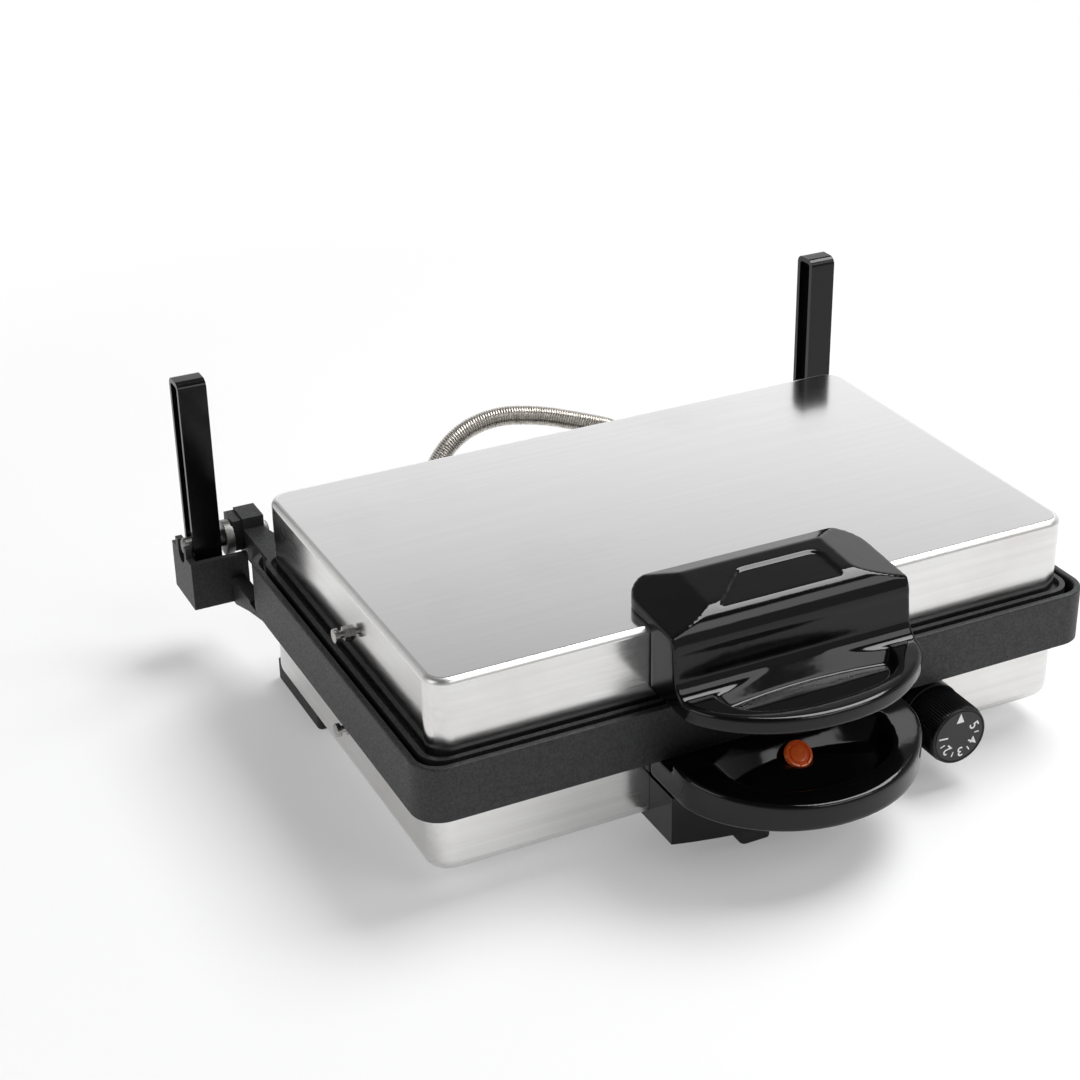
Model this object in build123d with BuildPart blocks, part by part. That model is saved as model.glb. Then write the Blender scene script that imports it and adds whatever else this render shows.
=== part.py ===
from build123d import *
import math
import os

os.makedirs("parts", exist_ok=True)

# Sizes are in millimetres. Heights are counted from the table, and fore-and-aft
# places from the middle of the cooking plates, positive towards the hinge.

# Steel covers
sheet = 1.0
upper_cover_inset = 12.0
upper_cover_height = 45.0
upper_cover_corner = 12.0
upper_cover_edge = 5.5
lower_cover_length = 385.0
lower_cover_depth = 236.0
lower_cover_height = 43.0
lower_cover_corner = 14.0
lower_cover_edge = 9.0
ground_clearance = 14.0

# Lower cooking plate, a casting with a deep band round its edge
plate_thickness = 6.0
band_end_overhang = 9.5
band_front_overhang = 11.5
band_corner = 16.0
band_wall = 4.0
band_height = 31.2
band_lip = 1.5
band_edge = 1.2

# Upper cooking plate, which nests in the band
nest_gap = 3.0
upper_plate_thickness = 7.0
upper_rim_wall = 3.0
upper_rim_height = 3.5
upper_skirt_height = 5.0
upper_plate_corner = 13.0

# Cooking ribs
rib_pitch = 9.0
rib_root = 5.0
rib_slope = 80.0
lower_rib_height = 6.7
upper_rib_height = 6.0
rib_margin = 12.0
closing_gap = 0.3

# Floating hinge: pins in slotted posts
pin_axis_behind = 47.0
pin_diameter = 10.0
pin_running_gap = 0.05
slot_gap = 0.5
arm_thickness = 13.0
arm_inset = 13.0
arm_radius = 12.5
arm_head_rise = 13.0
arm_head_behind = 10.5
arm_head_ahead = 7.5
arm_neck_rise = 6.0
arm_gusset = 10.0
arm_boss_height = 6.0
arm_boss_rise = 11.5
arm_boss_drop = 8.0
arm_boss_ahead = 5.5
arm_notch_clearance = 4.0
pin_collar_radius = 10.5
pin_collar = 5.0
pin_chamfer = 1.0
pin_tail = 3.0
clip_thickness = 1.2
clip_radius = 8.5
pin_end_clearance = 1.0

# Guide posts, flat bar folded into a hairpin
post_overhang = 10.0
post_width = 17.0
post_strap = 3.0
post_height = 182.0
post_corner = 5.0
post_bolt_radius = 2.0
post_bolt_gap = 0.15
post_bolt_height = 9.0
post_bolt_head_radius = 4.0
post_bolt_head = 2.8

# Hinge pockets cast on the rear corners of the lower plate
pocket_wall = 4.0
pocket_behind = 28.5
pocket_depth = 37.0
pocket_overlap = 11.0
pocket_overhang = 24.0
pocket_drop = 34.0
pocket_rim_drop = 4.0
ear_rise = 2.5
ear_ahead = 9.5
ear_behind = 10.5
ear_notch_drop = 10.0
web_thickness = 8.4
web_drop = 5.0
web_reach = 25.5
tongue_drop = 12.0
tongue_width = 14.0
fit_gap = 0.2

# Handles, black moulded plastic
handle_width = 140.0
handle_lap = 34.0
handle_rise = 11.0
handle_crown = 14.5
handle_bevel = 13.0
handle_roll_start = 8.5
handle_roll_fall = 2.5
handle_roll_lean = 0.1
handle_front = 24.0
handle_front_fall = 6.0
handle_front_rake = 1.5
handle_throat = 9.0
handle_throat_reach = 6.5
handle_corner = 18.0
handle_end_bevel = 26.0
handle_end_drop = 6.5
handle_end_lean = 0.08
handle_end_cut = 0.3
upper_tray_rise = 18.5
upper_tray_thickness = 10.0
upper_tray_reach = 74.5
lower_tray_drop = 2.0
lower_tray_thickness = 15.0
lower_tray_rise = 7.5
lower_scoop_floor = 8.0
lower_tray_reach = 85.0
tray_straight = handle_front + handle_front_rake + handle_throat_reach
tray_shoulder = 0.3
tray_bow = 0.664
tray_edge = 2.5
scoop_rim = 9.0
scoop_depth = 6.5
scoop_half_width = 53.0
scoop_bow = 0.664
upper_scoop_back = 32.5
upper_scoop_bow = 4.5
upper_scoop_draft = 6.0
upper_scoop_flare = 1.5
scoop_headroom = 4.5
lower_scoop_back = 30.5
lower_scoop_bow = 14.0
lower_scoop_draft = 12.0
thumb_depth = 1.2
thumb_corner = 6.0
thumb_left = 47.0
thumb_right = 35.0
thumb_rear_left = 13.0
thumb_front = 14.0
thumb_rear = 9.5
bracket_depth = 24.0
bracket_bow = 10.0
bracket_toe = 2.5
bracket_wall = 4.0
bracket_front_wall = 5.0
bracket_cavity = 56.0
bracket_corner = 3.0

# Fasteners
screw_radius = 2.0
screw_head_radius = 3.9
screw_head = 2.6
nut_radius = 4.0
nut_thickness = 3.2
hole_gap = 0.15
handle_screw_spread = 80.0
upper_screw_rise = 10.5
lower_screw_drop = 5.5
bracket_screw_rise = 13.0
handle_screw_length = 12.0
tie_screw_back = -7.0
upper_tie_rise = 18.0
lower_tie_drop = 13.5
tie_screw_reach = 8.5
lug_width = 12.0
lug_thickness = 3.2
lug_cap = 5.0

# Heating elements and what holds them
element_radius = 3.25
element_gap = 0.1
element_end_inset = 45.0
element_side_inset = 47.5
element_dip_half = 50.0
element_dip_depth = 95.0
element_bend = 12.0
element_lead_spread = 24.0
element_lead_drop = 19.0
element_lead_bend = 8.0
clamp_width = 12.0
clamp_strap = 1.5
clamp_leg = 5.0
clamp_side_gap = 1.5
clamp_gap = 0.1
clamp_spread = 100.0
bead_radius = 5.0
bead_length = 8.0
tab_length = 9.0
tab_width = 6.3
tab_thickness = 0.8
reflector_end_inset = 15.0
reflector_side_inset = 15.5
reflector_sheet = 0.8
reflector_corner = 12.0
reflector_drop = 13.0
reflector_gap = 0.3
lead_hole_radius = 7.0

# Thermostat and its knob
knob_place = 101.0
knob_rise = 19.0
knob_radius = 18.0
knob_face_radius = 16.3
knob_length = 31.0
knob_chamfer = 3.0
knob_collar = 5.0
knob_gap = 3.0
knob_bore_depth = 16.0
knob_flutes = 40
flute_radius = 0.9
dial_radius = 15.0
dial_thickness = 0.4
shaft_radius = 3.0
shaft_gap = 0.05
shaft_flat = 1.0
shaft_engagement = 12.0
shaft_inset = 10.0
thermostat_width = 26.0
thermostat_height = 20.0
thermostat_depth = 24.0
bushing_radius = 4.75
bushing_reach = 2.5
bezel_radius = 13.0
bezel_thickness = 1.6

# Indicator lamp in the lower handle
lens_forward = 32.0
lens_drop = 4.4
lens_radius = 7.75
lens_thickness = 3.0
lens_tilt = 40.0
lens_seat = 1.0
lens_edge = 0.8
lens_rim = 1.6
lens_groove = 0.9
lamp_radius = 4.5
lamp_length = 11.0
lamp_lead_rise = 20.0

# Steel conduit between base and lid
conduit_radius = 6.0
conduit_groove = 0.55
conduit_bore = 4.4
conduit_ribs = 110
gland_flange_radius = 10.5
gland_flange = 3.0
gland_neck = 3.0
gland_collar = 2.5
gland_nut = 3.0
base_gland_place = -75.0
base_gland_rise = 24.0
lid_gland_place = 50.0
lid_gland_rise = 23.0
conduit_exit_run = 23.0
run_to_radius = 0.45

# Feet
rear_foot_length = 68.0
rear_foot_width = 12.0
rear_foot_inset = 5.5
rear_foot_ahead = 56.0
front_foot_width = 18.0
front_foot_depth = 12.0
front_foot_place = 21.0
front_foot_forward = 22.0
foot_edge = 1.0
foot_corner = 3.0

# Inner fittings
block_length = 44.0
block_depth = 18.0
block_height = 15.0
block_place = -75.0
block_setback = 44.0
block_bore = 2.6
block_poles = 3
lid_block_poles = 2
lid_block_length = 30.0
lid_block_place = 50.0
lid_block_setback = 39.5
cord_gland_place = 120.0
cord_gland_rise = 20.0
cord_gland_radius = 9.0
cord_gland_neck_radius = 6.5
cord_bore = 3.6
cord_gland_reach = 9.0
earth_place = -130.0
earth_setback = 38.0
earth_length = 12.0

# Worked-out levels and places
lower_cover_top = ground_clearance + lower_cover_height
plate_top = lower_cover_top + plate_thickness
band_bottom = lower_cover_top - band_lip
lower_rib_top = plate_top + lower_rib_height
upper_rib_bottom = lower_rib_top + closing_gap
upper_plate_bottom = upper_rib_bottom + upper_rib_height
upper_plate_top = upper_plate_bottom + upper_plate_thickness
upper_cover_top = upper_plate_top + upper_cover_height
band_length = lower_cover_length + 2 * band_end_overhang
band_depth = lower_cover_depth + 2 * band_front_overhang
band_half_length = band_length / 2
band_half = band_depth / 2
upper_cover_length = band_length - 2 * upper_cover_inset
upper_cover_depth = band_depth - 2 * upper_cover_inset
upper_front = upper_cover_depth / 2
lower_front = lower_cover_depth / 2
upper_plate_length = band_length - 2 * (band_wall + nest_gap)
upper_plate_depth = band_depth - 2 * (band_wall + nest_gap)
rib_length = upper_plate_depth - 2 * rib_margin
rib_count = int((upper_plate_length - 2 * rib_margin) / rib_pitch)
cover_floor_top = ground_clearance + sheet

# The pins' axis is level with the underside of the lid's plate
pin_axis_height = upper_plate_bottom
pin_axis_back = band_half + pin_axis_behind
arm_outer_face = band_half_length - arm_inset
arm_inner_face = arm_outer_face - arm_thickness
post_centre = band_half_length + post_overhang
pocket_inner = band_half_length - pocket_overlap
pocket_outer = band_half_length + pocket_overhang
pocket_front = band_half + pocket_behind
pocket_back = pocket_front + pocket_depth
pocket_bottom = pin_axis_height - pocket_drop
pocket_top = pin_axis_height - pocket_rim_drop
ear_top = pin_axis_height + ear_rise
ear_front = pin_axis_back - ear_ahead
ear_back = pin_axis_back + ear_behind
ear_notch_bottom = pin_axis_height - ear_notch_drop
web_top = plate_top - web_drop
web_front = band_half - web_reach
tongue_top = pin_axis_height - tongue_drop
slot_half = pin_diameter / 2 + slot_gap
post_fold = slot_half + post_strap

# Trays, screws and the front of the grill
handle_half = handle_width / 2
upper_tray_top = upper_plate_top + upper_tray_rise
lower_tray_top = lower_cover_top - lower_tray_drop
front_reach = lower_front + fit_gap + lower_tray_reach
upper_handle_screw_height = upper_tray_top + upper_screw_rise
lower_handle_screw_height = lower_tray_top - lower_screw_drop
bracket_screw_height = ground_clearance + bracket_screw_rise
upper_tie_height = upper_plate_top + upper_tie_rise
lower_tie_height = lower_cover_top - lower_tie_drop
screw_hole = screw_radius + hole_gap
knob_height = ground_clearance + knob_rise
lens_height = lower_tray_top - lens_drop
lamp_lead_height = ground_clearance + lamp_lead_rise

# Fore-and-aft shift that puts the whole grill over its own middle
plate_y = (front_reach - pocket_back) / 2

# Heating and wiring inside the covers
element_half_length = upper_plate_length / 2 - element_end_inset
element_half_depth = upper_plate_depth / 2 - element_side_inset
reflector_length = upper_cover_length - 2 * reflector_end_inset
reflector_depth = upper_cover_depth - 2 * reflector_side_inset
reflector_level = lower_cover_top - reflector_drop
lid_reflector_level = upper_plate_top + reflector_drop
base_gland_height = ground_clearance + base_gland_rise
lid_gland_height = upper_plate_top + lid_gland_rise
cord_gland_height = ground_clearance + cord_gland_rise
block_back = lower_front - block_setback
lid_block_back = upper_front - lid_block_setback
earth_back = lower_front - earth_setback
rear_foot_outer = lower_cover_length / 2 - rear_foot_inset
rear_foot_front = lower_front - rear_foot_ahead
sides = (-1, 1)


def level(height):
    """Horizontal plane at a height, with its origin over the middle of the plates."""
    return Plane((0, plate_y, height))


def across(place):
    """Upright plane that cuts the grill from front to back, seen from the right."""
    return Plane(origin=(place, plate_y, 0), x_dir=(0, 1, 0), z_dir=(1, 0, 0))


def facing(back):
    """Upright plane that faces the cook, at a distance behind the plates' middle."""
    return Plane(origin=(0, plate_y + back, 0), x_dir=(1, 0, 0), z_dir=(0, -1, 0))


def drill(plane, points, radius, depth):
    """Cut round holes of one size into the part that is being made."""
    with BuildSketch(plane) as holes:
        with Locations(*points):
            Circle(radius)
    extrude(holes.sketch, amount=depth, mode=Mode.SUBTRACT)


def rod(plane, points, radius, length):
    """Add round bars of one size to the part that is being made."""
    with BuildSketch(plane) as ends:
        with Locations(*points):
            Circle(radius)
    extrude(ends.sketch, amount=length)


def hexagon(plane, points, radius, length):
    """Add six-sided bars of one size to the part that is being made."""
    with BuildSketch(plane) as ends:
        with Locations(*points):
            RegularPolygon(radius, 6)
    extrude(ends.sketch, amount=length)


def finish(sub_part, name):
    """Name a finished piece and write it out."""
    sub_part.label = name
    export_step(sub_part, f"parts/{name}.step")


def bend_radii(points):
    """Largest arcs that the straight runs of a route leave room for."""
    vectors = [Vector(*point) for point in points]
    radii = []
    for before, corner, after in zip(vectors, vectors[1:], vectors[2:]):
        turn = (corner - before).get_angle(after - corner)
        run = min((corner - before).length, (after - corner).length)
        radii.append(run_to_radius * run / math.tan(math.radians(turn / 2)))
    return radii


# Lower cover: a pressed steel pan, open at the top
with BuildPart() as lower_cover:
    with BuildSketch(level(ground_clearance)):
        RectangleRounded(lower_cover_length, lower_cover_depth, lower_cover_corner)
    extrude(amount=lower_cover_height)
    fillet(lower_cover.edges().group_by(Axis.Z)[0], lower_cover_edge)
    offset(amount=-sheet, openings=lower_cover.faces().sort_by(Axis.Z)[-1])
    lower_wall_cut = facing(-lower_front + 2 * sheet)
    lower_wall_screws = [
        (side * handle_screw_spread / 2, height)
        for side in sides
        for height in (lower_handle_screw_height, bracket_screw_height)
    ]
    drill(lower_wall_cut, lower_wall_screws, screw_hole, 3 * sheet)
    drill(lower_wall_cut, [(0, lamp_lead_height)], lamp_radius, 3 * sheet)
    drill(lower_wall_cut, [(knob_place, knob_height)], bushing_radius + hole_gap, 3 * sheet)
    lower_rear_cut = facing(lower_front + sheet)
    drill(lower_rear_cut, [(base_gland_place, base_gland_height)], conduit_radius + hole_gap, 3 * sheet)
    cord_hole = cord_gland_neck_radius + hole_gap
    drill(lower_rear_cut, [(cord_gland_place, cord_gland_height)], cord_hole, 3 * sheet)
    lower_tie_hole = [(tie_screw_back, lower_tie_height)]
    drill(across(-lower_cover_length), lower_tie_hole, screw_hole, 2 * lower_cover_length)
    drill(level(0), [(earth_place, earth_back)], screw_hole, ground_clearance + 2 * sheet)
finish(lower_cover.part, "lower_cover")

# Lower cooking plate: ribbed floor, deep band, hinge pockets and screw lugs
with BuildPart() as lower_grill_plate:
    with BuildSketch(level(band_bottom)):
        RectangleRounded(band_length, band_depth, band_corner)
    extrude(amount=band_height)
    with BuildSketch(level(plate_top)):
        RectangleRounded(band_length - 2 * band_wall, band_depth - 2 * band_wall, band_corner - band_wall)
    extrude(amount=band_height, mode=Mode.SUBTRACT)
    with BuildSketch(level(lower_cover_top)):
        RectangleRounded(band_length - 2 * band_wall, band_depth - 2 * band_wall, band_corner - band_wall)
    extrude(amount=-band_lip, mode=Mode.SUBTRACT)
    fillet(lower_grill_plate.edges().group_by(Axis.Z)[-1], band_edge)
    with BuildSketch(facing(rib_length / 2)):
        with Locations((0, plate_top + lower_rib_height / 2)):
            with GridLocations(rib_pitch, rib_pitch, rib_count, 1):
                Trapezoid(rib_root, lower_rib_height, rib_slope)
    extrude(amount=rib_length)
    for side in sides:
        # Notch where the lid's arm passes through the rear of the band
        notch_middle = side * (arm_inner_face - arm_gusset + arm_outer_face) / 2
        notch_width = arm_thickness + arm_gusset + 2 * arm_notch_clearance
        with BuildSketch(level(pin_axis_height - arm_radius - arm_notch_clearance)):
            with Locations((notch_middle, band_half)):
                Rectangle(notch_width, 3 * band_wall)
        extrude(amount=band_height, mode=Mode.SUBTRACT)
        # Web that carries the pocket
        web_outer = band_length / 2 - web_thickness
        with BuildSketch(across(side * web_outer)):
            with BuildLine():
                Polyline(
                    (web_front, band_bottom + band_lip / 2),
                    (web_front, band_bottom),
                    (band_half, band_bottom - plate_thickness),
                    (pocket_front - band_wall, pocket_bottom),
                    (pocket_front + pocket_wall, pocket_bottom),
                    (pocket_front + pocket_wall, web_top),
                    (band_half - band_wall, web_top),
                    (band_half - band_wall, band_bottom + band_lip / 2),
                    close=True,
                )
            make_face()
        extrude(amount=side * web_thickness)
        # Pocket floor, front wall and outer wall
        floor_width = pocket_outer - pocket_inner
        floor_depth = pocket_back - pocket_front
        pocket_middle = side * (pocket_outer + pocket_inner) / 2
        with BuildSketch(level(pocket_bottom)):
            with Locations((pocket_middle, pocket_front + floor_depth / 2)):
                Rectangle(floor_width, floor_depth)
        extrude(amount=pocket_wall)
        with BuildSketch(level(pocket_bottom)):
            with Locations((pocket_middle, pocket_front + pocket_wall / 2)):
                Rectangle(floor_width, pocket_wall)
            with Locations((side * (pocket_outer - pocket_wall / 2), pocket_front + floor_depth / 2)):
                Rectangle(pocket_wall, floor_depth)
        extrude(amount=pocket_top - pocket_bottom)
        with BuildSketch(across(side * (pocket_outer - pocket_wall))):
            with Locations(((ear_front + ear_back) / 2, (ear_top + pocket_bottom) / 2)):
                Rectangle(ear_back - ear_front, ear_top - pocket_bottom)
        extrude(amount=side * pocket_wall)
        with BuildSketch(across(side * (pocket_outer - 2 * pocket_wall))):
            with Locations((pin_axis_back, ear_notch_bottom + slot_half)):
                Circle(slot_half)
            with Locations((pin_axis_back, ear_top)):
                Rectangle(2 * slot_half, 2 * (ear_top - ear_notch_bottom - slot_half))
        extrude(amount=side * 3 * pocket_wall, mode=Mode.SUBTRACT)
        # Tongue that the hairpin post straddles
        with BuildSketch(level(pocket_bottom)):
            with Locations((side * post_centre, pin_axis_back)):
                Rectangle(tongue_width, 2 * (slot_half - fit_gap))
        extrude(amount=tongue_top - pocket_bottom)
        bolt_height = pocket_bottom + pocket_wall + post_bolt_height
        drill(
            facing(pocket_back),
            [(side * post_centre, bolt_height)],
            post_bolt_radius + post_bolt_gap,
            pocket_back - pocket_front - pocket_wall - fit_gap,
        )
        # Lug that the end wall of the cover is screwed to
        lug_face = lower_cover_length / 2 - sheet
        with BuildSketch(across(side * lug_face)):
            with Locations((tie_screw_back, (lower_tie_height - lug_cap + lower_cover_top) / 2)):
                Rectangle(lug_width, lower_cover_top - lower_tie_height + lug_cap)
        extrude(amount=-side * lug_thickness)
        drill(
            across(side * (lug_face - 2 * lug_thickness)),
            [(tie_screw_back, lower_tie_height)],
            screw_hole,
            side * 3 * lug_thickness,
        )
finish(lower_grill_plate.part, "lower_grill_plate")

# Upper cooking plate: ribs below, a rim round the cover, two hinge arms behind
with BuildPart() as upper_grill_plate:
    with BuildSketch(level(upper_plate_bottom - upper_skirt_height)):
        RectangleRounded(upper_plate_length, upper_plate_depth, upper_plate_corner)
    extrude(amount=upper_skirt_height + upper_plate_thickness + upper_rim_height)
    rim_inner_length = upper_plate_length - 2 * upper_rim_wall
    rim_inner_depth = upper_plate_depth - 2 * upper_rim_wall
    with BuildSketch(level(upper_plate_top)):
        RectangleRounded(rim_inner_length, rim_inner_depth, upper_plate_corner - upper_rim_wall)
    extrude(amount=upper_rim_height, mode=Mode.SUBTRACT)
    with BuildSketch(level(upper_plate_bottom)):
        RectangleRounded(rim_inner_length, rim_inner_depth, upper_plate_corner - upper_rim_wall)
    extrude(amount=-upper_skirt_height, mode=Mode.SUBTRACT)
    with BuildSketch(facing(rib_length / 2)):
        with Locations((0, upper_plate_bottom - upper_rib_height / 2)):
            with GridLocations(rib_pitch, rib_pitch, rib_count, 1):
                Trapezoid(rib_root, upper_rib_height, rib_slope, rotation=180)
    extrude(amount=rib_length)
    for side in sides:
        arm_root = upper_plate_depth / 2 - upper_rim_wall / 2
        arm_low = upper_plate_bottom - upper_skirt_height
        arm_neck_top = pin_axis_height + arm_neck_rise
        head_front = pin_axis_back - arm_head_ahead
        head_back = pin_axis_back + arm_head_behind
        with BuildSketch(across(side * arm_inner_face)):
            with BuildLine():
                Polyline(
                    (arm_root, arm_low),
                    (arm_root, arm_neck_top),
                    (head_front, arm_neck_top),
                    (head_front, pin_axis_height + arm_head_rise),
                    (head_back, pin_axis_height + arm_head_rise),
                    (head_back, pin_axis_height - arm_radius / 2),
                    (pin_axis_back, pin_axis_height - arm_radius),
                    (pin_axis_back - 2 * arm_radius, pin_axis_height - arm_radius),
                    (arm_root, arm_low),
                )
            make_face()
        extrude(amount=side * arm_thickness)
        # Gusset that braces the arm against the rim
        with BuildSketch(level(arm_low)):
            with BuildLine():
                Polyline(
                    (side * arm_inner_face, arm_root),
                    (side * arm_inner_face, head_front - arm_notch_clearance),
                    (side * (arm_inner_face - arm_gusset), arm_root),
                    close=True,
                )
            make_face()
        extrude(amount=arm_neck_top - arm_low)
        # Boss that the pin's collar runs against
        boss_middle_back = (pin_axis_back - arm_boss_ahead + head_back) / 2
        boss_middle_height = pin_axis_height + (arm_boss_rise - arm_boss_drop) / 2
        with BuildSketch(across(side * arm_outer_face)):
            with Locations((boss_middle_back, boss_middle_height)):
                Rectangle(arm_boss_ahead + arm_head_behind, arm_boss_rise + arm_boss_drop)
        extrude(amount=side * arm_boss_height)
        drill(
            across(side * (arm_inner_face - arm_thickness)),
            [(pin_axis_back, pin_axis_height)],
            pin_diameter / 2 + pin_running_gap,
            side * 3 * arm_thickness,
        )
        lid_lug_face = upper_cover_length / 2 - sheet
        with BuildSketch(across(side * lid_lug_face)):
            with Locations((tie_screw_back, (upper_tie_height + lug_cap + upper_plate_top) / 2)):
                Rectangle(lug_width, upper_tie_height + lug_cap - upper_plate_top)
        extrude(amount=-side * lug_thickness)
        drill(
            across(side * (lid_lug_face - 2 * lug_thickness)),
            [(tie_screw_back, upper_tie_height)],
            screw_hole,
            side * 3 * lug_thickness,
        )
finish(upper_grill_plate.part, "upper_grill_plate")

# Upper cover: a pressed steel lid skin, open below
with BuildPart() as upper_cover:
    with BuildSketch(level(upper_plate_top)):
        RectangleRounded(upper_cover_length, upper_cover_depth, upper_cover_corner)
    extrude(amount=upper_cover_height)
    fillet(upper_cover.edges().group_by(Axis.Z)[-1], upper_cover_edge)
    offset(amount=-sheet, openings=upper_cover.faces().sort_by(Axis.Z)[0])
    upper_wall_screws = [(side * handle_screw_spread / 2, upper_handle_screw_height) for side in sides]
    drill(facing(-upper_front + 2 * sheet), upper_wall_screws, screw_hole, 3 * sheet)
    drill(
        facing(upper_front + sheet),
        [(lid_gland_place, lid_gland_height)],
        conduit_radius + hole_gap,
        3 * sheet,
    )
    drill(
        across(-upper_cover_length),
        [(tie_screw_back, upper_tie_height)],
        screw_hole,
        2 * upper_cover_length,
    )
finish(upper_cover.part, "upper_cover")

# Guide posts: flat bar folded over into a slot for the hinge pin
for side, name in ((-1, "guide_post_left"), (1, "guide_post_right")):
    with BuildPart() as guide_post:
        foot = pocket_bottom + pocket_wall
        slot_top = post_height - post_strap
        inner_side = across(side * (post_centre - post_width / 2))
        with BuildSketch(inner_side) as folded:
            with Locations((pin_axis_back, (foot + post_height) / 2)):
                Rectangle(2 * post_fold, post_height - foot)
            fillet(folded.vertices().group_by(Axis.Y)[-1], post_corner)
        extrude(amount=side * post_width)
        with BuildSketch(inner_side) as slot:
            with Locations((pin_axis_back, (foot + slot_top) / 2)):
                Rectangle(2 * slot_half, slot_top - foot)
            fillet(slot.vertices().group_by(Axis.Y)[-1], post_corner - post_strap)
        extrude(amount=side * post_width, mode=Mode.SUBTRACT)
        drill(
            facing(pin_axis_back + 2 * post_fold),
            [(side * post_centre, foot + post_bolt_height)],
            post_bolt_radius + post_bolt_gap,
            4 * post_fold,
        )
    finish(guide_post.part, name)

# Bolts and nuts that clamp the posts to their tongues
with BuildPart() as guide_post_bolts:
    bolt_points = [(side * post_centre, pocket_bottom + pocket_wall + post_bolt_height) for side in sides]
    post_front = pin_axis_back - post_fold
    post_back = pin_axis_back + post_fold
    rod(facing(post_front), bolt_points, post_bolt_head_radius, post_bolt_head)
    bolt_length = post_back - post_front + nut_thickness
    rod(facing(post_back + nut_thickness), bolt_points, post_bolt_radius, bolt_length)
    hexagon(facing(post_back + nut_thickness), bolt_points, nut_radius, nut_thickness)
finish(guide_post_bolts.part, "guide_post_bolts")

# Hinge pins: a collar beside each arm and a plain end in the post's slot
for side, name in ((-1, "hinge_pin_left"), (1, "hinge_pin_right")):
    with BuildPart() as hinge_pin:
        pin_tip = pocket_outer - pin_end_clearance
        pin_inner_end = arm_inner_face - clip_thickness - pin_tail
        pin_centre = [(pin_axis_back, pin_axis_height)]
        rod(across(side * pin_inner_end), pin_centre, pin_diameter / 2, side * (pin_tip - pin_inner_end))
        pin_ends = hinge_pin.edges().group_by(Axis.X)
        chamfer(pin_ends[0] + pin_ends[-1], pin_chamfer)
        collar_face = arm_outer_face + arm_boss_height + fit_gap / 2
        rod(across(side * collar_face), pin_centre, pin_collar_radius, side * pin_collar)
    finish(hinge_pin.part, name)

# Spring clips that keep the pins in the arms
with BuildPart() as pin_clips:
    for side in sides:
        clip_face = arm_inner_face - fit_gap / 2
        with BuildSketch(across(side * clip_face)):
            with Locations((pin_axis_back, pin_axis_height)):
                Circle(clip_radius)
                Circle(pin_diameter / 2, mode=Mode.SUBTRACT)
            with Locations((pin_axis_back, pin_axis_height - clip_radius)):
                Rectangle(pin_diameter / 2, 2 * clip_radius - pin_diameter / 2, mode=Mode.SUBTRACT)
        extrude(amount=-side * clip_thickness)
finish(pin_clips.part, "pin_clips")


def tray_outline(half, back, side_end, reach):
    """Tray with straight sides as far as the handle's throat and a rounded front."""
    tip = side_end - reach
    shoulder = side_end - tray_shoulder * reach
    with BuildLine() as rim:
        Line((-half, back), (-half, side_end))
        Bezier((-half, side_end), (-half, shoulder), (-tray_bow * half, tip), (0, tip))
        Bezier((0, tip), (tray_bow * half, tip), (half, shoulder), (half, side_end))
        Polyline((half, side_end), (half, back), (-half, back))
    make_face(rim.edges())


def scoop_outline(ends, bow, tray_front, shrink):
    """Lens-shaped outline of the finger scoop in a tray, drawn in from its rim."""
    half = scoop_half_width - shrink
    tip = tray_front + scoop_rim + shrink
    shoulder = ends + scoop_bow * (tip - ends)
    with BuildLine() as edge:
        ThreePointArc((-half, ends), (0, ends + bow), (half, ends))
        Bezier((half, ends), (half, shoulder), (scoop_bow * half, tip), (0, tip))
        Bezier((0, tip), (-scoop_bow * half, tip), (-half, shoulder), (-half, ends))
    make_face(edge.edges())


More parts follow.
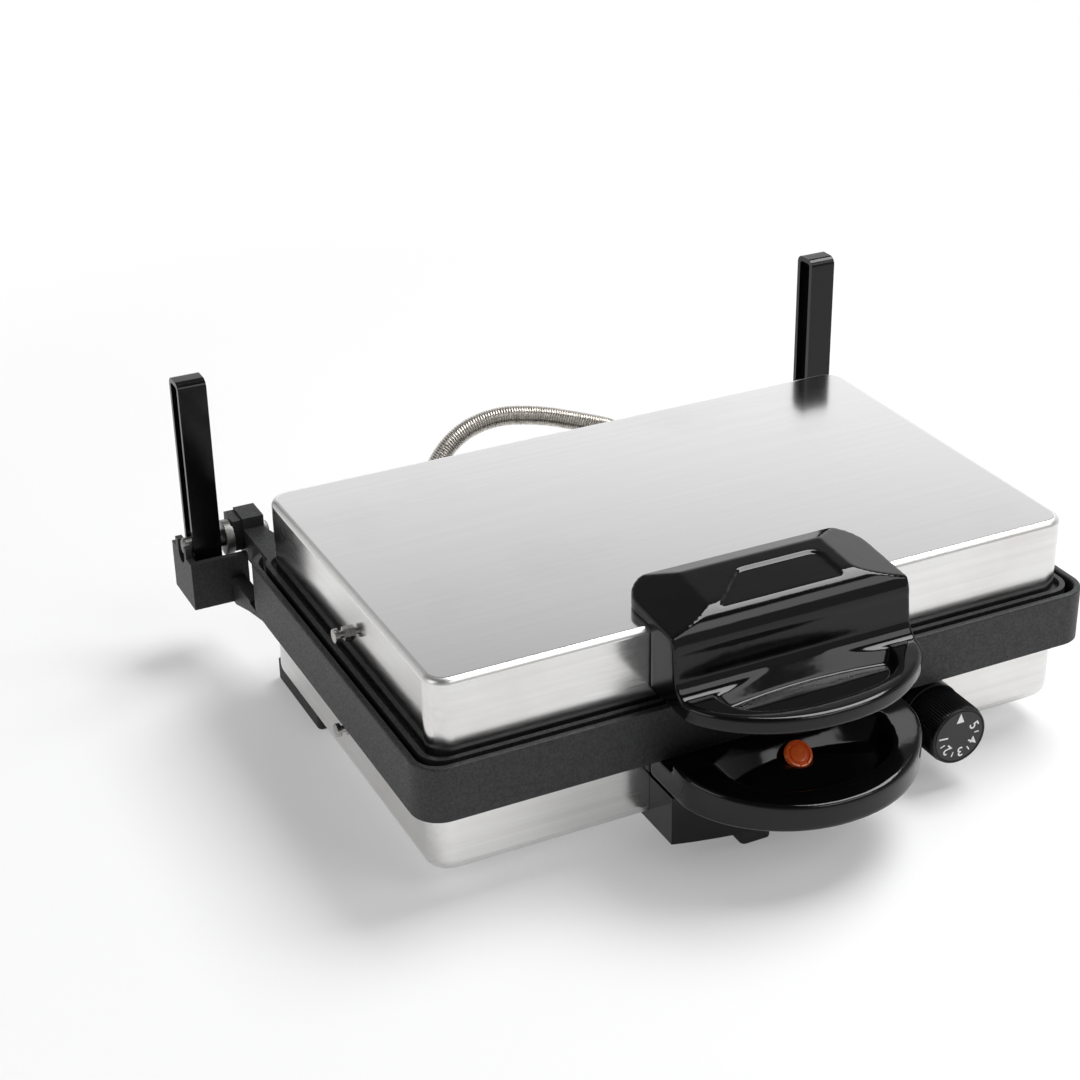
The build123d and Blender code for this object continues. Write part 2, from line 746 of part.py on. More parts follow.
# Upper handle: a hook over the lid's front edge that ends in a scooped tray
with BuildPart() as upper_handle:
    wall = -upper_front
    rear = wall + handle_lap
    top = upper_cover_top
    crown = top + handle_crown
    tray_under = upper_tray_top - upper_tray_thickness
    tray_middle = upper_tray_top - upper_tray_thickness / 2
    roll_start = (wall - handle_roll_start, crown - handle_roll_fall)
    roll_end = (wall - handle_front, top - handle_front_fall)
    throat_start = (wall - handle_front - handle_front_rake, upper_tray_top + handle_throat)
    throat_end = (wall - handle_front - handle_front_rake - handle_throat_reach, upper_tray_top)
    with BuildSketch(level(tray_under)):
        tray_outline(handle_half, wall, wall - tray_straight, upper_tray_reach - tray_straight)
    extrude(amount=upper_tray_thickness)
    level_edges = upper_handle.edges().filter_by(Axis.Z, reverse=True).sort_by(Axis.Y)
    fillet(level_edges[:-2], tray_edge)
    with BuildSketch(across(-handle_half)):
        with BuildLine():
            Polyline(
                (wall - handle_bevel, tray_middle),
                (wall, tray_middle),
                (wall, top),
                (rear, top),
                (rear, top + handle_rise),
                (rear - handle_bevel, crown),
                roll_start,
            )
            TangentArc(roll_start, roll_end, tangent=(-1, -handle_roll_lean))
            Line(roll_end, throat_start)
            TangentArc(throat_start, throat_end, tangent=(-handle_roll_lean, -1))
            Polyline(
                throat_end,
                (throat_end[0], tray_middle),
                (wall - handle_bevel, tray_middle),
            )
        make_face()
    extrude(amount=handle_width)
    fillet(upper_handle.edges().filter_by(Axis.Z).group_by(Axis.Y)[-1], handle_corner)
    for side in sides:
        hip_place = side * (handle_half - handle_end_bevel)
        hip = Vector(hip_place, plate_y + roll_start[0], roll_start[1] - handle_end_cut)
        outward = Vector(side * handle_end_bevel, 0, -handle_end_drop)
        along = Vector(0, 1, handle_end_lean)
        normal = outward.cross(along).normalized()
        if normal.Z < 0:
            normal = normal * -1
        split(bisect_by=Plane(origin=hip, z_dir=normal), keep=Keep.BOTTOM)
    tray_front = wall - upper_tray_reach
    for rise, shrink in ((-scoop_depth, upper_scoop_draft), (scoop_headroom, -upper_scoop_flare)):
        with BuildSketch(level(upper_tray_top + rise)):
            scoop_outline(wall - upper_scoop_back - shrink, upper_scoop_bow, tray_front, shrink)
    loft(ruled=True, mode=Mode.SUBTRACT)
    # Shallow thumb rest that runs out over the front roll
    crown_fall = Vector(0, roll_start[0] - (rear - handle_bevel), -handle_roll_fall)
    crown_plane = Plane(
        origin=(0, plate_y + roll_start[0], roll_start[1]),
        x_dir=(1, 0, 0),
        z_dir=crown_fall.cross(Vector(1, 0, 0)),
    )
    with BuildSketch(crown_plane.offset(-thumb_depth)) as thumb_rest:
        with BuildLine() as thumb_edge:
            Polyline(
                (-thumb_left, -thumb_front),
                (-thumb_rear_left, crown_fall.length - thumb_rear),
                (thumb_right, crown_fall.length - thumb_rear),
                (thumb_right, -thumb_front),
                close=True,
            )
        make_face(thumb_edge.edges())
        fillet(thumb_rest.vertices().group_by(Axis.Y)[-1], thumb_corner)
    extrude(amount=handle_crown, mode=Mode.SUBTRACT)
    drill(
        facing(wall + 1),
        upper_wall_screws,
        screw_radius,
        handle_screw_length + 1,
    )
finish(upper_handle.part, "upper_handle")

# The outside of the lower cover with a fitting gap, for cutting what wraps round it
with BuildPart() as lower_cover_room:
    with BuildSketch(level(ground_clearance - fit_gap)):
        RectangleRounded(lower_cover_length, lower_cover_depth + 2 * fit_gap, lower_cover_corner)
    extrude(amount=lower_cover_height + band_height)
    fillet(lower_cover_room.edges().group_by(Axis.Z)[0], lower_cover_edge)

# Lower handle: a scooped tray below the band, with a seat for the indicator lens
lens_plane = Plane(
    origin=(0, plate_y - lower_front - lens_forward, lens_height),
    x_dir=(1, 0, 0),
    z_dir=(0, -math.sin(math.radians(lens_tilt)), math.cos(math.radians(lens_tilt))),
)
lower_tray_bottom = lower_tray_top - lower_tray_thickness
lamp_hole_depth = 2 * lamp_length
with BuildPart() as lower_handle:
    wall = -lower_front
    with BuildSketch(level(lower_tray_bottom)):
        tray_outline(handle_half, wall - fit_gap, wall - tray_straight, lower_tray_reach - tray_straight)
    extrude(amount=2 * lower_tray_thickness)
    tray_rake = Plane(
        origin=(0, plate_y - band_half, lower_tray_top + lower_tray_rise),
        z_dir=(0, -lower_tray_rise, lower_tray_reach - (band_half - lower_front)),
    )
    split(bisect_by=tray_rake, keep=Keep.BOTTOM)
    with BuildSketch(level(band_bottom - fit_gap)):
        with Locations((0, -band_half)):
            Rectangle(2 * handle_width, 2 * (band_half - lower_front + fit_gap))
    extrude(amount=band_height, mode=Mode.SUBTRACT)
    nose_start = plate_y + wall - tray_straight
    front_edges = lower_handle.edges().filter_by(
        lambda edge: edge.center().Y < nose_start and edge.length > lower_tray_reach / 2
    )
    fillet(front_edges, tray_edge)
    tray_front = wall - lower_tray_reach
    with BuildSketch(level(lower_tray_bottom + lower_scoop_floor)):
        draft = lower_scoop_draft / 2
        ends = wall - lower_scoop_back - draft
        scoop_outline(ends, lower_scoop_bow - draft, tray_front, lower_scoop_draft)
    with BuildSketch(level(lower_tray_top + lower_tray_rise)):
        scoop_outline(wall - lower_scoop_back, lower_scoop_bow, tray_front, 0)
    loft(ruled=True, mode=Mode.SUBTRACT)
    with BuildSketch(lens_plane.offset(-lens_seat)):
        Circle(lens_radius + hole_gap)
    extrude(amount=lens_radius, mode=Mode.SUBTRACT)
    drill(lens_plane, [(0, 0)], lamp_radius + hole_gap, -lamp_hole_depth)
    drill(
        facing(wall + 1),
        [(side * handle_screw_spread / 2, lower_handle_screw_height) for side in sides],
        screw_radius,
        handle_screw_length + 1,
    )
finish(lower_handle.part, "lower_handle")

# Bracket under the lower handle, which hooks under the front of the cover
bracket_bottom = ground_clearance - bracket_toe
with BuildPart() as lower_handle_bracket:
    with BuildSketch(level(bracket_bottom)):
        with BuildLine():
            Polyline(
                (-handle_half, wall - bracket_depth),
                (-handle_half, wall + lower_cover_edge),
                (handle_half, wall + lower_cover_edge),
                (handle_half, wall - bracket_depth),
            )
            ThreePointArc(
                (handle_half, wall - bracket_depth),
                (0, wall - bracket_depth - bracket_bow),
                (-handle_half, wall - bracket_depth),
            )
        make_face()
    extrude(amount=lower_tray_bottom - bracket_bottom)
    add(lower_cover_room.part, mode=Mode.SUBTRACT)
    cavity_depth = bracket_depth + bracket_bow - bracket_front_wall
    with BuildSketch(level(bracket_bottom + bracket_wall)):
        with Locations((0, wall - cavity_depth / 2)):
            Rectangle(bracket_cavity, cavity_depth)
    extrude(amount=lower_tray_bottom, mode=Mode.SUBTRACT)
    fillet(lower_handle_bracket.edges().filter_by(Axis.Z).group_by(Axis.Y)[0], bracket_corner)
    drill(lens_plane, [(0, 0)], lamp_radius + fit_gap, -lamp_hole_depth)
    drill(
        facing(wall + 1),
        [(side * handle_screw_spread / 2, bracket_screw_height) for side in sides],
        screw_radius,
        handle_screw_length + 1,
    )
finish(lower_handle_bracket.part, "lower_handle_bracket")

# Screws that hold the handles from inside the covers
for name, wall_place, points in (
    ("upper_handle_screws", upper_front, upper_wall_screws),
    ("lower_handle_screws", lower_front, lower_wall_screws),
):
    with BuildPart() as handle_screws:
        inside = sheet - wall_place
        rod(facing(inside + screw_head), points, screw_head_radius, screw_head)
        rod(facing(inside), points, screw_radius, sheet + handle_screw_length)
    finish(handle_screws.part, name)

# Tie screws through the end walls of the covers, each with a nut against the wall
for name, cover_length, height in (
    ("upper_tie_screws", upper_cover_length, upper_tie_height),
    ("lower_tie_screws", lower_cover_length, lower_tie_height),
):
    with BuildPart() as tie_screws:
        for side in sides:
            end_wall = cover_length / 2
            place = [(tie_screw_back, height)]
            shank_inside = sheet + lug_thickness
            rod(
                across(side * (end_wall - shank_inside)),
                place,
                screw_radius,
                side * (shank_inside + tie_screw_reach),
            )
            rod(across(side * (end_wall + tie_screw_reach)), place, screw_head_radius, -side * screw_head)
            hexagon(across(side * end_wall), place, nut_radius, side * nut_thickness)
    finish(tie_screws.part, name)


def heater(plate_face, away):
    """Tubular heating element bent to cover a plate; it lies on the side that away points to."""
    run_level = plate_face + away * (element_radius + element_gap)
    lead_end = run_level + away * element_lead_drop
    lead = element_lead_spread / 2
    half_length = element_half_length
    half_depth = element_half_depth
    dip_back = element_dip_depth - half_depth
    route = [
        (-lead, half_depth, lead_end),
        (-lead, half_depth, run_level),
        (-half_length, half_depth, run_level),
        (-half_length, -half_depth, run_level),
        (-element_dip_half, -half_depth, run_level),
        (-element_dip_half, dip_back, run_level),
        (element_dip_half, dip_back, run_level),
        (element_dip_half, -half_depth, run_level),
        (half_length, -half_depth, run_level),
        (half_length, half_depth, run_level),
        (lead, half_depth, run_level),
        (lead, half_depth, lead_end),
    ]
    route = [(x, y + plate_y, z) for x, y, z in route]
    radii = [element_lead_bend] + [element_bend] * (len(route) - 4) + [element_lead_bend]
    with BuildPart() as element:
        with BuildLine() as spine:
            FilletPolyline(*route, radius=radii)
        with BuildSketch(level(lead_end)) as section:
            with Locations((-lead, half_depth)):
                Circle(element_radius)
        sweep(section.sketch, path=spine.wires()[0])
    return element.part


def clamps(plate_face, away):
    """Bridges that press the element against the plate."""
    across_element = 2 * (element_radius + clamp_side_gap)
    leg_height = 2 * element_radius + element_gap + clamp_gap
    with BuildPart() as bridges:
        for x in (-clamp_spread, clamp_spread):
            for y in (-element_half_depth, element_half_depth):
                with BuildSketch(across(x - clamp_width / 2)) as bridge:
                    with Locations((y, plate_face + away * (leg_height + clamp_strap) / 2)):
                        Rectangle(across_element + 2 * clamp_leg, leg_height + clamp_strap)
                    with Locations((y, plate_face + away * leg_height / 2)):
                        Rectangle(across_element, leg_height, mode=Mode.SUBTRACT)
                extrude(bridge.sketch, amount=clamp_width)
    return bridges.part


def terminals(plate_face, away):
    """Ceramic beads and flat tabs on the ends of the element."""
    run_level = plate_face + away * (element_radius + element_gap)
    lead_end = run_level + away * (element_lead_drop + element_gap)
    places = [(side * element_lead_spread / 2, element_half_depth) for side in sides]
    with BuildPart() as ends:
        rod(level(lead_end), places, bead_radius, away * bead_length)
        with BuildSketch(level(lead_end + away * bead_length)) as tabs:
            with Locations(*places):
                Rectangle(tab_thickness, tab_width)
        extrude(tabs.sketch, amount=away * tab_length)
    return ends.part


def reflector(plate_face, away):
    """Bright sheet tray that throws the element's heat back at the plate."""
    height = reflector_drop - reflector_gap
    with BuildPart() as tray:
        with BuildSketch(level(plate_face + away * reflector_gap)):
            RectangleRounded(reflector_length, reflector_depth, reflector_corner)
        extrude(amount=away * height)
        open_face = tray.faces().sort_by(Axis.Z)[-1 if away < 0 else 0]
        offset(amount=-reflector_sheet, openings=open_face)
        with BuildSketch(level(plate_face)) as lead_holes:
            with Locations(*[(side * element_lead_spread / 2, element_half_depth) for side in sides]):
                Circle(lead_hole_radius)
        extrude(lead_holes.sketch, amount=away * 2 * reflector_drop, mode=Mode.SUBTRACT)
    return tray.part


for prefix, plate_face, away in (("lower", lower_cover_top, -1), ("upper", upper_plate_top, 1)):
    finish(heater(plate_face, away), f"{prefix}_heating_element")
    finish(clamps(plate_face, away), f"{prefix}_element_clamps")
    finish(terminals(plate_face, away), f"{prefix}_element_terminals")
    finish(reflector(plate_face, away), f"{prefix}_reflector")

# Thermostat body with its threaded bushing through the front of the cover
knob_centre = [(knob_place, knob_height)]
front_inside = -lower_front + sheet
with BuildPart() as thermostat_body:
    with BuildSketch(facing(front_inside)):
        with Locations(*knob_centre):
            Rectangle(thermostat_width, thermostat_height)
    extrude(amount=-thermostat_depth)
    rod(facing(front_inside), knob_centre, bushing_radius, sheet + bushing_reach)
    drill(
        facing(front_inside + shaft_inset + fit_gap),
        knob_centre,
        shaft_radius + shaft_gap,
        shaft_inset + fit_gap + sheet + bushing_reach,
    )
finish(thermostat_body.part, "thermostat_body")

# Bezel between the knob and the cover
with BuildPart() as thermostat_bezel:
    with BuildSketch(facing(-lower_front)):
        with Locations(*knob_centre):
            Circle(bezel_radius)
            Circle(bushing_radius + hole_gap, mode=Mode.SUBTRACT)
    extrude(amount=bezel_thickness)
finish(thermostat_bezel.part, "thermostat_bezel")

# Thermostat shaft with a flat for the knob
knob_back = -lower_front - knob_gap
with BuildPart() as thermostat_shaft:
    shaft_start = front_inside + shaft_inset
    rod(facing(shaft_start), knob_centre, shaft_radius, shaft_start - knob_back + shaft_engagement)
    with BuildSketch(facing(knob_back)):
        with Locations((knob_place, knob_height - 2 * shaft_radius + shaft_flat)):
            Rectangle(2 * shaft_radius, 2 * shaft_radius)
    extrude(amount=shaft_engagement, mode=Mode.SUBTRACT)
finish(thermostat_shaft.part, "thermostat_shaft")

# Fluted knob with a recess for its dial
with BuildPart() as thermostat_knob:
    rod(facing(knob_back), knob_centre, knob_radius, knob_length)
    front_rim = thermostat_knob.edges().group_by(Axis.Y)[0]
    chamfer(front_rim, length=knob_chamfer, length2=knob_radius - knob_face_radius)
    with BuildSketch(facing(knob_back - knob_collar)):
        with Locations(*knob_centre):
            with PolarLocations(knob_radius, knob_flutes):
                Circle(flute_radius)
    extrude(amount=knob_length, mode=Mode.SUBTRACT)
    dial_seat = facing(knob_back - knob_length + dial_thickness)
    drill(dial_seat, knob_centre, dial_radius + fit_gap / 2, knob_length)
    with BuildSketch(facing(knob_back)):
        with Locations(*knob_centre):
            Circle(shaft_radius + shaft_gap)
        with Locations((knob_place, knob_height - 2 * shaft_radius + shaft_flat - shaft_gap)):
            Rectangle(4 * shaft_radius, 2 * shaft_radius, mode=Mode.SUBTRACT)
    extrude(amount=knob_bore_depth, mode=Mode.SUBTRACT)
finish(thermostat_knob.part, "thermostat_knob")

# Printed dial plate let into the knob's face
with BuildPart() as thermostat_dial:
    rod(facing(knob_back - knob_length + dial_thickness), knob_centre, dial_radius, dial_thickness)
finish(thermostat_dial.part, "thermostat_dial")

# Indicator lens and the lamp behind it
with BuildPart() as indicator_lens:
    with BuildSketch(lens_plane.offset(-lens_seat)):
        Circle(lens_radius)
    extrude(amount=lens_thickness)
    fillet(indicator_lens.edges().sort_by(Axis.Z)[-1], lens_edge)
    with BuildSketch(lens_plane.offset(lens_thickness - lens_seat)):
        Circle(lens_radius - lens_rim)
        Circle(lens_radius - lens_rim - lens_groove, mode=Mode.SUBTRACT)
    extrude(amount=-lens_groove, mode=Mode.SUBTRACT)
finish(indicator_lens.part, "indicator_lens")

with BuildPart() as indicator_lamp:
    with BuildSketch(lens_plane.offset(-lens_seat - fit_gap / 2)):
        Circle(lamp_radius)
    extrude(amount=-lamp_length)
finish(indicator_lamp.part, "indicator_lamp")


def gland(outer_face, place, height, flange_radius, neck_radius, bore, collar, wall):
    """Flanged bushing through a cover's rear wall, with its nut inside."""
    spot = [(place, height)]
    with BuildPart() as bushing:
        rod(facing(outer_face + gland_flange), spot, flange_radius, gland_flange)
        rod(facing(outer_face + gland_flange + collar), spot, neck_radius + gland_collar, collar)
        rod(facing(outer_face), spot, neck_radius, wall + gland_nut)
        hexagon(facing(outer_face - wall), spot, neck_radius + gland_nut, gland_nut)
        drill(facing(outer_face + gland_flange + collar), spot, bore, 4 * (gland_flange + collar))
    return bushing.part


# Glands of the conduit, and the inlet of the mains cord
conduit_ends = (
    ("conduit_gland_lower", lower_front, base_gland_place, base_gland_height),
    ("conduit_gland_upper", upper_front, lid_gland_place, lid_gland_height),
)
for name, face, place, height in conduit_ends:
    finish(
        gland(face, place, height, gland_flange_radius, conduit_radius, conduit_bore, gland_neck, sheet),
        name,
    )
finish(
    gland(
        lower_front,
        cord_gland_place,
        cord_gland_height,
        cord_gland_radius,
        cord_gland_neck_radius,
        cord_bore,
        cord_gland_reach,
        sheet,
    ),
    "cord_gland",
)

# Flexible steel conduit: ribs and bore along one route of straight runs and arcs
conduit_start = lower_front + gland_flange + gland_neck
conduit_end = upper_front + gland_flange + gland_neck
conduit_route = [
    (base_gland_place, conduit_start, base_gland_height),
    (base_gland_place, conduit_start + conduit_exit_run, base_gland_height),
    (base_gland_place + 3.0, conduit_start + 49.0, base_gland_height + 20.0),
    (base_gland_place + 13.0, conduit_start + 59.0, base_gland_height + 46.0),
    (base_gland_place + 30.0, conduit_end + 58.5, lid_gland_height + 1.0),
    (lid_gland_place - 70.0, conduit_end + 54.5, lid_gland_height + 11.0),
    (lid_gland_place - 42.0, conduit_end + 47.5, lid_gland_height + 8.5),
    (lid_gland_place - 21.0, conduit_end + 37.5, lid_gland_height + 4.0),
    (lid_gland_place, conduit_end + conduit_exit_run, lid_gland_height),
    (lid_gland_place, conduit_end, lid_gland_height),
]
conduit_route = [(x, y + plate_y, z) for x, y, z in conduit_route]
conduit_radii = bend_radii(conduit_route)
print("conduit radii", [round(radius, 1) for radius in conduit_radii])
with BuildLine() as conduit_spine:
    FilletPolyline(*conduit_route, radius=conduit_radii)
spine = conduit_spine.wires()[0]
steady = Vector(-0.6, 0, 0.8)
rib_foot = 0.05
rib_shoulder = 0.2
rib_share = rib_foot + rib_shoulder
ring_steps = (
    (rib_foot, conduit_groove),
    (rib_shoulder, 0.0),
    (1 - rib_shoulder, 0.0),
    (1 - rib_foot, conduit_groove),
)


def ring(fraction, radius):
    """Circle of the conduit's skin at a fraction of its length."""
    along = spine.tangent_at(fraction)
    x_axis = steady - along * steady.dot(along)
    return Wire.make_circle(radius, Plane(spine.position_at(fraction), x_dir=x_axis, z_dir=along))


conduit_rings = [ring(0.0, conduit_radius - conduit_groove)]
for rib in range(conduit_ribs):
    for step, groove in ring_steps:
        conduit_rings.append(ring((rib + step) / conduit_ribs, conduit_radius - groove))
conduit_rings.append(ring(1.0, conduit_radius - conduit_groove))
conduit_skin = Solid.make_loft(conduit_rings, ruled=True)
with BuildPart() as conduit:
    add(conduit_skin)
    bore_plane = Plane(spine.position_at(0), x_dir=(1, 0, 0), z_dir=spine.tangent_at(0))
    with BuildSketch(bore_plane) as bore_section:
        Circle(conduit_bore)
    sweep(bore_section.sketch, path=spine, mode=Mode.SUBTRACT)
skin_area = math.pi * (conduit_radius - conduit_groove * rib_share) ** 2
wall_volume = (skin_area - math.pi * conduit_bore**2) * spine.length
print(f"conduit length {spine.length:.0f}, volume {conduit.part.volume:.0f}")
print(f"conduit section times length {wall_volume:.0f}")
finish(conduit.part, "conduit")

# Feet: two rails at the back, two short feet under the bracket
with BuildPart() as rear_feet:
    for side in sides:
        with BuildSketch(level(0)) as rail:
            with Locations(
                (side * (rear_foot_outer - rear_foot_width / 2), rear_foot_front + rear_foot_length / 2)
            ):
                RectangleRounded(rear_foot_width, rear_foot_length, foot_corner)
        extrude(rail.sketch, amount=ground_clearance)
    chamfer(rear_feet.edges().group_by(Axis.Z)[0], foot_edge)
finish(rear_feet.part, "rear_feet")

with BuildPart() as front_feet:
    with BuildSketch(level(0)):
        with Locations(*[(side * front_foot_place, -lower_front - front_foot_forward) for side in sides]):
            RectangleRounded(front_foot_width, front_foot_depth, foot_corner)
    extrude(amount=bracket_bottom)
    chamfer(front_feet.edges().group_by(Axis.Z)[0], foot_edge)
finish(front_feet.part, "front_feet")


def connector(place, back, floor, length, poles):
    """Ceramic connector block with a wire bore for each pole."""
    with BuildPart() as block:
        with BuildSketch(level(floor)) as base:
            with Locations((place, back)):
                Rectangle(length, block_depth)
        extrude(base.sketch, amount=block_height)
        spread = length / poles
        first = place - (poles - 1) / 2 * spread
        bores = [(first + pole * spread, floor + block_height / 2) for pole in range(poles)]
        drill(facing(back + block_depth), bores, block_bore, 2 * block_depth)
    return block.part


finish(connector(block_place, block_back, cover_floor_top, block_length, block_poles), "terminal_block")
lid_block_floor = lid_reflector_level
finish(
    connector(lid_block_place, lid_block_back, lid_block_floor, lid_block_length, lid_block_poles),
    "lid_terminal_block",
)

# Earth screw with its nut, through the floor of the lower cover
with BuildPart() as earth_screw:
    earth_spot = [(earth_place, earth_back)]
    rod(level(ground_clearance - screw_head), earth_spot, screw_head_radius, screw_head)
    rod(level(ground_clearance), earth_spot, screw_radius, earth_length)
    hexagon(level(cover_floor_top), earth_spot, nut_radius, nut_thickness)
finish(earth_screw.part, "earth_screw")
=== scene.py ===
"""Looks of a countertop contact grill, dressed over its packed construction.

Lengths are in metres, in the frame of the construction: +X is the cook's right,
+Y runs towards the hinge and +Z is up. Levels and places come from the boxes of
the construction's own nodes.
"""

import logging
import math
from abc import ABC, abstractmethod
from dataclasses import dataclass, field
from enum import Enum, IntEnum
from typing import Callable, Iterable, Mapping, Optional, Sequence

import bmesh
import bpy
from mathutils import Matrix, Vector


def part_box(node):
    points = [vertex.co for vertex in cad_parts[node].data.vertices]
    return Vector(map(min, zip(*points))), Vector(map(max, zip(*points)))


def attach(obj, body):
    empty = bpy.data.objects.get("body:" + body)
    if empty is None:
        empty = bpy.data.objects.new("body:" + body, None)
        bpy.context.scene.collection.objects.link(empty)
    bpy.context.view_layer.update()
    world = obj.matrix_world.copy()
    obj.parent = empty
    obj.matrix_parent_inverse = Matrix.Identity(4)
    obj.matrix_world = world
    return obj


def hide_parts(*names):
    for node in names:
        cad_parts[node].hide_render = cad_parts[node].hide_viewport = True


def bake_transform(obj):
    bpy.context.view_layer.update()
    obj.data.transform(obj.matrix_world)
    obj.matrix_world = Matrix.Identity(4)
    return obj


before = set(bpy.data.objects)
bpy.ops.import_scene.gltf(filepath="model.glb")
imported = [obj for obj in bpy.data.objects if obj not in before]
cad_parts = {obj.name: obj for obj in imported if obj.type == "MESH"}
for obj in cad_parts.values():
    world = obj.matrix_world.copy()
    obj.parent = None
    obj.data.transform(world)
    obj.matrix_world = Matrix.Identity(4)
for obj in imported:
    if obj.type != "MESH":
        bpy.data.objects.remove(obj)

LOG = logging.getLogger("grill")
MERGE_DISTANCE = 1e-6
UP = Vector((0.0, 0.0, 1.0))
FORWARD = Vector((0.0, -1.0, 0.0))
WHITE = (1.0, 1.0, 1.0)

Colour = tuple[float, float, float]
Span = tuple[float, float]
Socket = bpy.types.NodeSocket


class Body(Enum):
    """Bodies of the grill that pieces ride on."""

    BASE = "base"
    CARRIAGE = "carriage"
    KNOB = "knob"
    LID = "lid"


class Grain(Enum):
    """Direction of the brush marks on steel, as the share of each axis."""

    ALONG_X = (0.018, 1.0, 1.0)
    ALONG_Y = (1.0, 0.018, 1.0)


class Slot(Enum):
    """Material slots of the construction's record."""

    COVER_STEEL = "cover_steel"
    PLATE_COAT = "plate_coat"
    HANDLE_PLASTIC = "handle_plastic"
    POST_BLACK = "post_black"
    BRIGHT_STEEL = "bright_steel"
    ELEMENT_STEEL = "element_steel"
    REFLECTOR_SHEET = "reflector_sheet"
    CERAMIC = "ceramic"
    CONDUIT_STEEL = "conduit_steel"
    KNOB_PLASTIC = "knob_plastic"
    DIAL_PLASTIC = "dial_plastic"
    LENS_ORANGE = "lens_orange"
    LAMP_GLASS = "lamp_glass"
    THERMOSTAT_CASE = "thermostat_case"
    FOOT_RUBBER = "foot_rubber"


class CoverFace(IntEnum):
    """Parts of a steel cover, in the order of its material slots."""

    WALL = 0
    END_WALL = 1
    LEVEL = 2
    ROLL = 3


def near(value: float, target: float, slack: float = 1e-5) -> bool:
    """Whether two lengths agree within a slack."""
    return abs(value - target) < slack


def deselect_all() -> None:
    """Leave object mode with nothing selected."""
    if bpy.context.object is not None and bpy.context.object.mode != "OBJECT":
        bpy.ops.object.mode_set(mode="OBJECT")
    bpy.ops.object.select_all(action="DESELECT")


def choose(piece: bpy.types.Object) -> None:
    """Make one object the only selected and the active one.

    Args:
        piece: the object that the next operators act on.
    """
    deselect_all()
    piece.select_set(True)
    bpy.context.view_layer.objects.active = piece


def select_parts(piece: bpy.types.Object, faces: Optional[Callable[[Vector], bool]] = None,
                 edges: Optional[Callable[[Vector, Vector], bool]] = None) -> None:
    """Select faces by their middle or edges by their two ends, in edit mode.

    Args:
        piece: the object that is being edited.
        faces: a test of a face's middle.
        edges: a test of an edge's two end points.
    """
    mesh = bmesh.from_edit_mesh(piece.data)
    for element in (*mesh.verts, *mesh.edges, *mesh.faces):
        element.select = False
    if faces is not None:
        for face in mesh.faces:
            if faces(face.calc_center_median()):
                face.select_set(True)
    if edges is not None:
        for edge in mesh.edges:
            if edges(edge.verts[0].co, edge.verts[1].co):
                edge.select_set(True)
    bmesh.update_edit_mesh(piece.data)


def add_box(name: str, low: Sequence[float], high: Sequence[float]) -> bpy.types.Object:
    """Add a box between two corners and leave it in edit mode.

    Args:
        name: the piece's name.
        low: its lowest corner.
        high: its highest corner.

    Returns:
        The new object, with its place in its mesh.
    """
    deselect_all()
    bpy.ops.mesh.primitive_cube_add(size=1.0)
    piece = bpy.context.object
    piece.name = name
    middle = (Vector(low) + Vector(high)) / 2
    piece.data.transform(
        Matrix.Translation(middle) @ Matrix.Diagonal((*(Vector(high) - Vector(low)), 1.0))
    )
    bpy.ops.object.mode_set(mode="EDIT")
    bpy.ops.mesh.select_mode(type="EDGE")
    return piece


def add_disc(name: str, centre: Vector, facing: Vector, radius: float,
             sides: int) -> bpy.types.Object:
    """Add a filled disc and leave it in edit mode with its face selected.

    Args:
        name: the piece's name.
        centre: the disc's middle.
        facing: the way that it faces.
        radius: its radius.
        sides: how many sides it has.

    Returns:
        The new object, with its place in its mesh.
    """
    deselect_all()
    bpy.ops.mesh.primitive_circle_add(vertices=sides, radius=radius, fill_type="NGON")
    piece = bpy.context.object
    piece.name = name
    turn = UP.rotation_difference(facing).to_matrix().to_4x4()
    piece.data.transform(Matrix.Translation(centre) @ turn)
    bpy.ops.object.mode_set(mode="EDIT")
    bpy.ops.mesh.select_mode(type="FACE")
    bpy.ops.mesh.select_all(action="SELECT")
    return piece


def push(vector: Vector) -> None:
    """Extrude the selected faces by a vector, in edit mode."""
    bpy.ops.mesh.extrude_region_move(TRANSFORM_OT_translate={"value": tuple(vector)})


def inset(width: float, rise: float = 0.0) -> None:
    """Inset the selected faces and move them out of the surface, in edit mode."""
    bpy.ops.mesh.inset(thickness=width, depth=rise)


def round_edges(width: float, segments: int) -> None:
    """Bevel the selected edges in so many segments, in edit mode."""
    bpy.ops.mesh.bevel(offset=width, segments=segments, profile=0.5, affect="EDGES")


def apply_modifier(piece: bpy.types.Object, kind: str, **settings: object) -> None:
    """Add a modifier to a piece, set it up and apply it.

    Args:
        piece: the object that gets the modifier.
        kind: Blender's name of the modifier type.
        **settings: values for the modifier's properties.
    """
    choose(piece)
    modifier = piece.modifiers.new(kind.title(), kind)
    for key, value in settings.items():
        setattr(modifier, key, value)
    bpy.ops.object.modifier_apply(modifier=modifier.name)


def smooth(piece: bpy.types.Object, angle: float = 38.0, weight: int = 80) -> None:
    """Shade a piece smooth, sharp past an angle, with its flat faces kept flat.

    Args:
        piece: the object to shade.
        angle: the sharpest edge that is still shaded smooth, in degrees.
        weight: how strongly large faces set the shading, 50 for not at all.
    """
    choose(piece)
    bpy.ops.object.shade_smooth_by_angle(angle=math.radians(angle))
    apply_modifier(piece, "WEIGHTED_NORMAL", keep_sharp=True, weight=weight)


def outward(piece: bpy.types.Object) -> None:
    """Merge doubled points and turn every face outwards.

    Args:
        piece: the object to mend.
    """
    choose(piece)
    bpy.ops.object.mode_set(mode="EDIT")
    bpy.ops.mesh.select_all(action="SELECT")
    bpy.ops.mesh.remove_doubles(threshold=MERGE_DISTANCE)
    bpy.ops.mesh.normals_make_consistent(inside=False)
    bpy.ops.object.mode_set(mode="OBJECT")


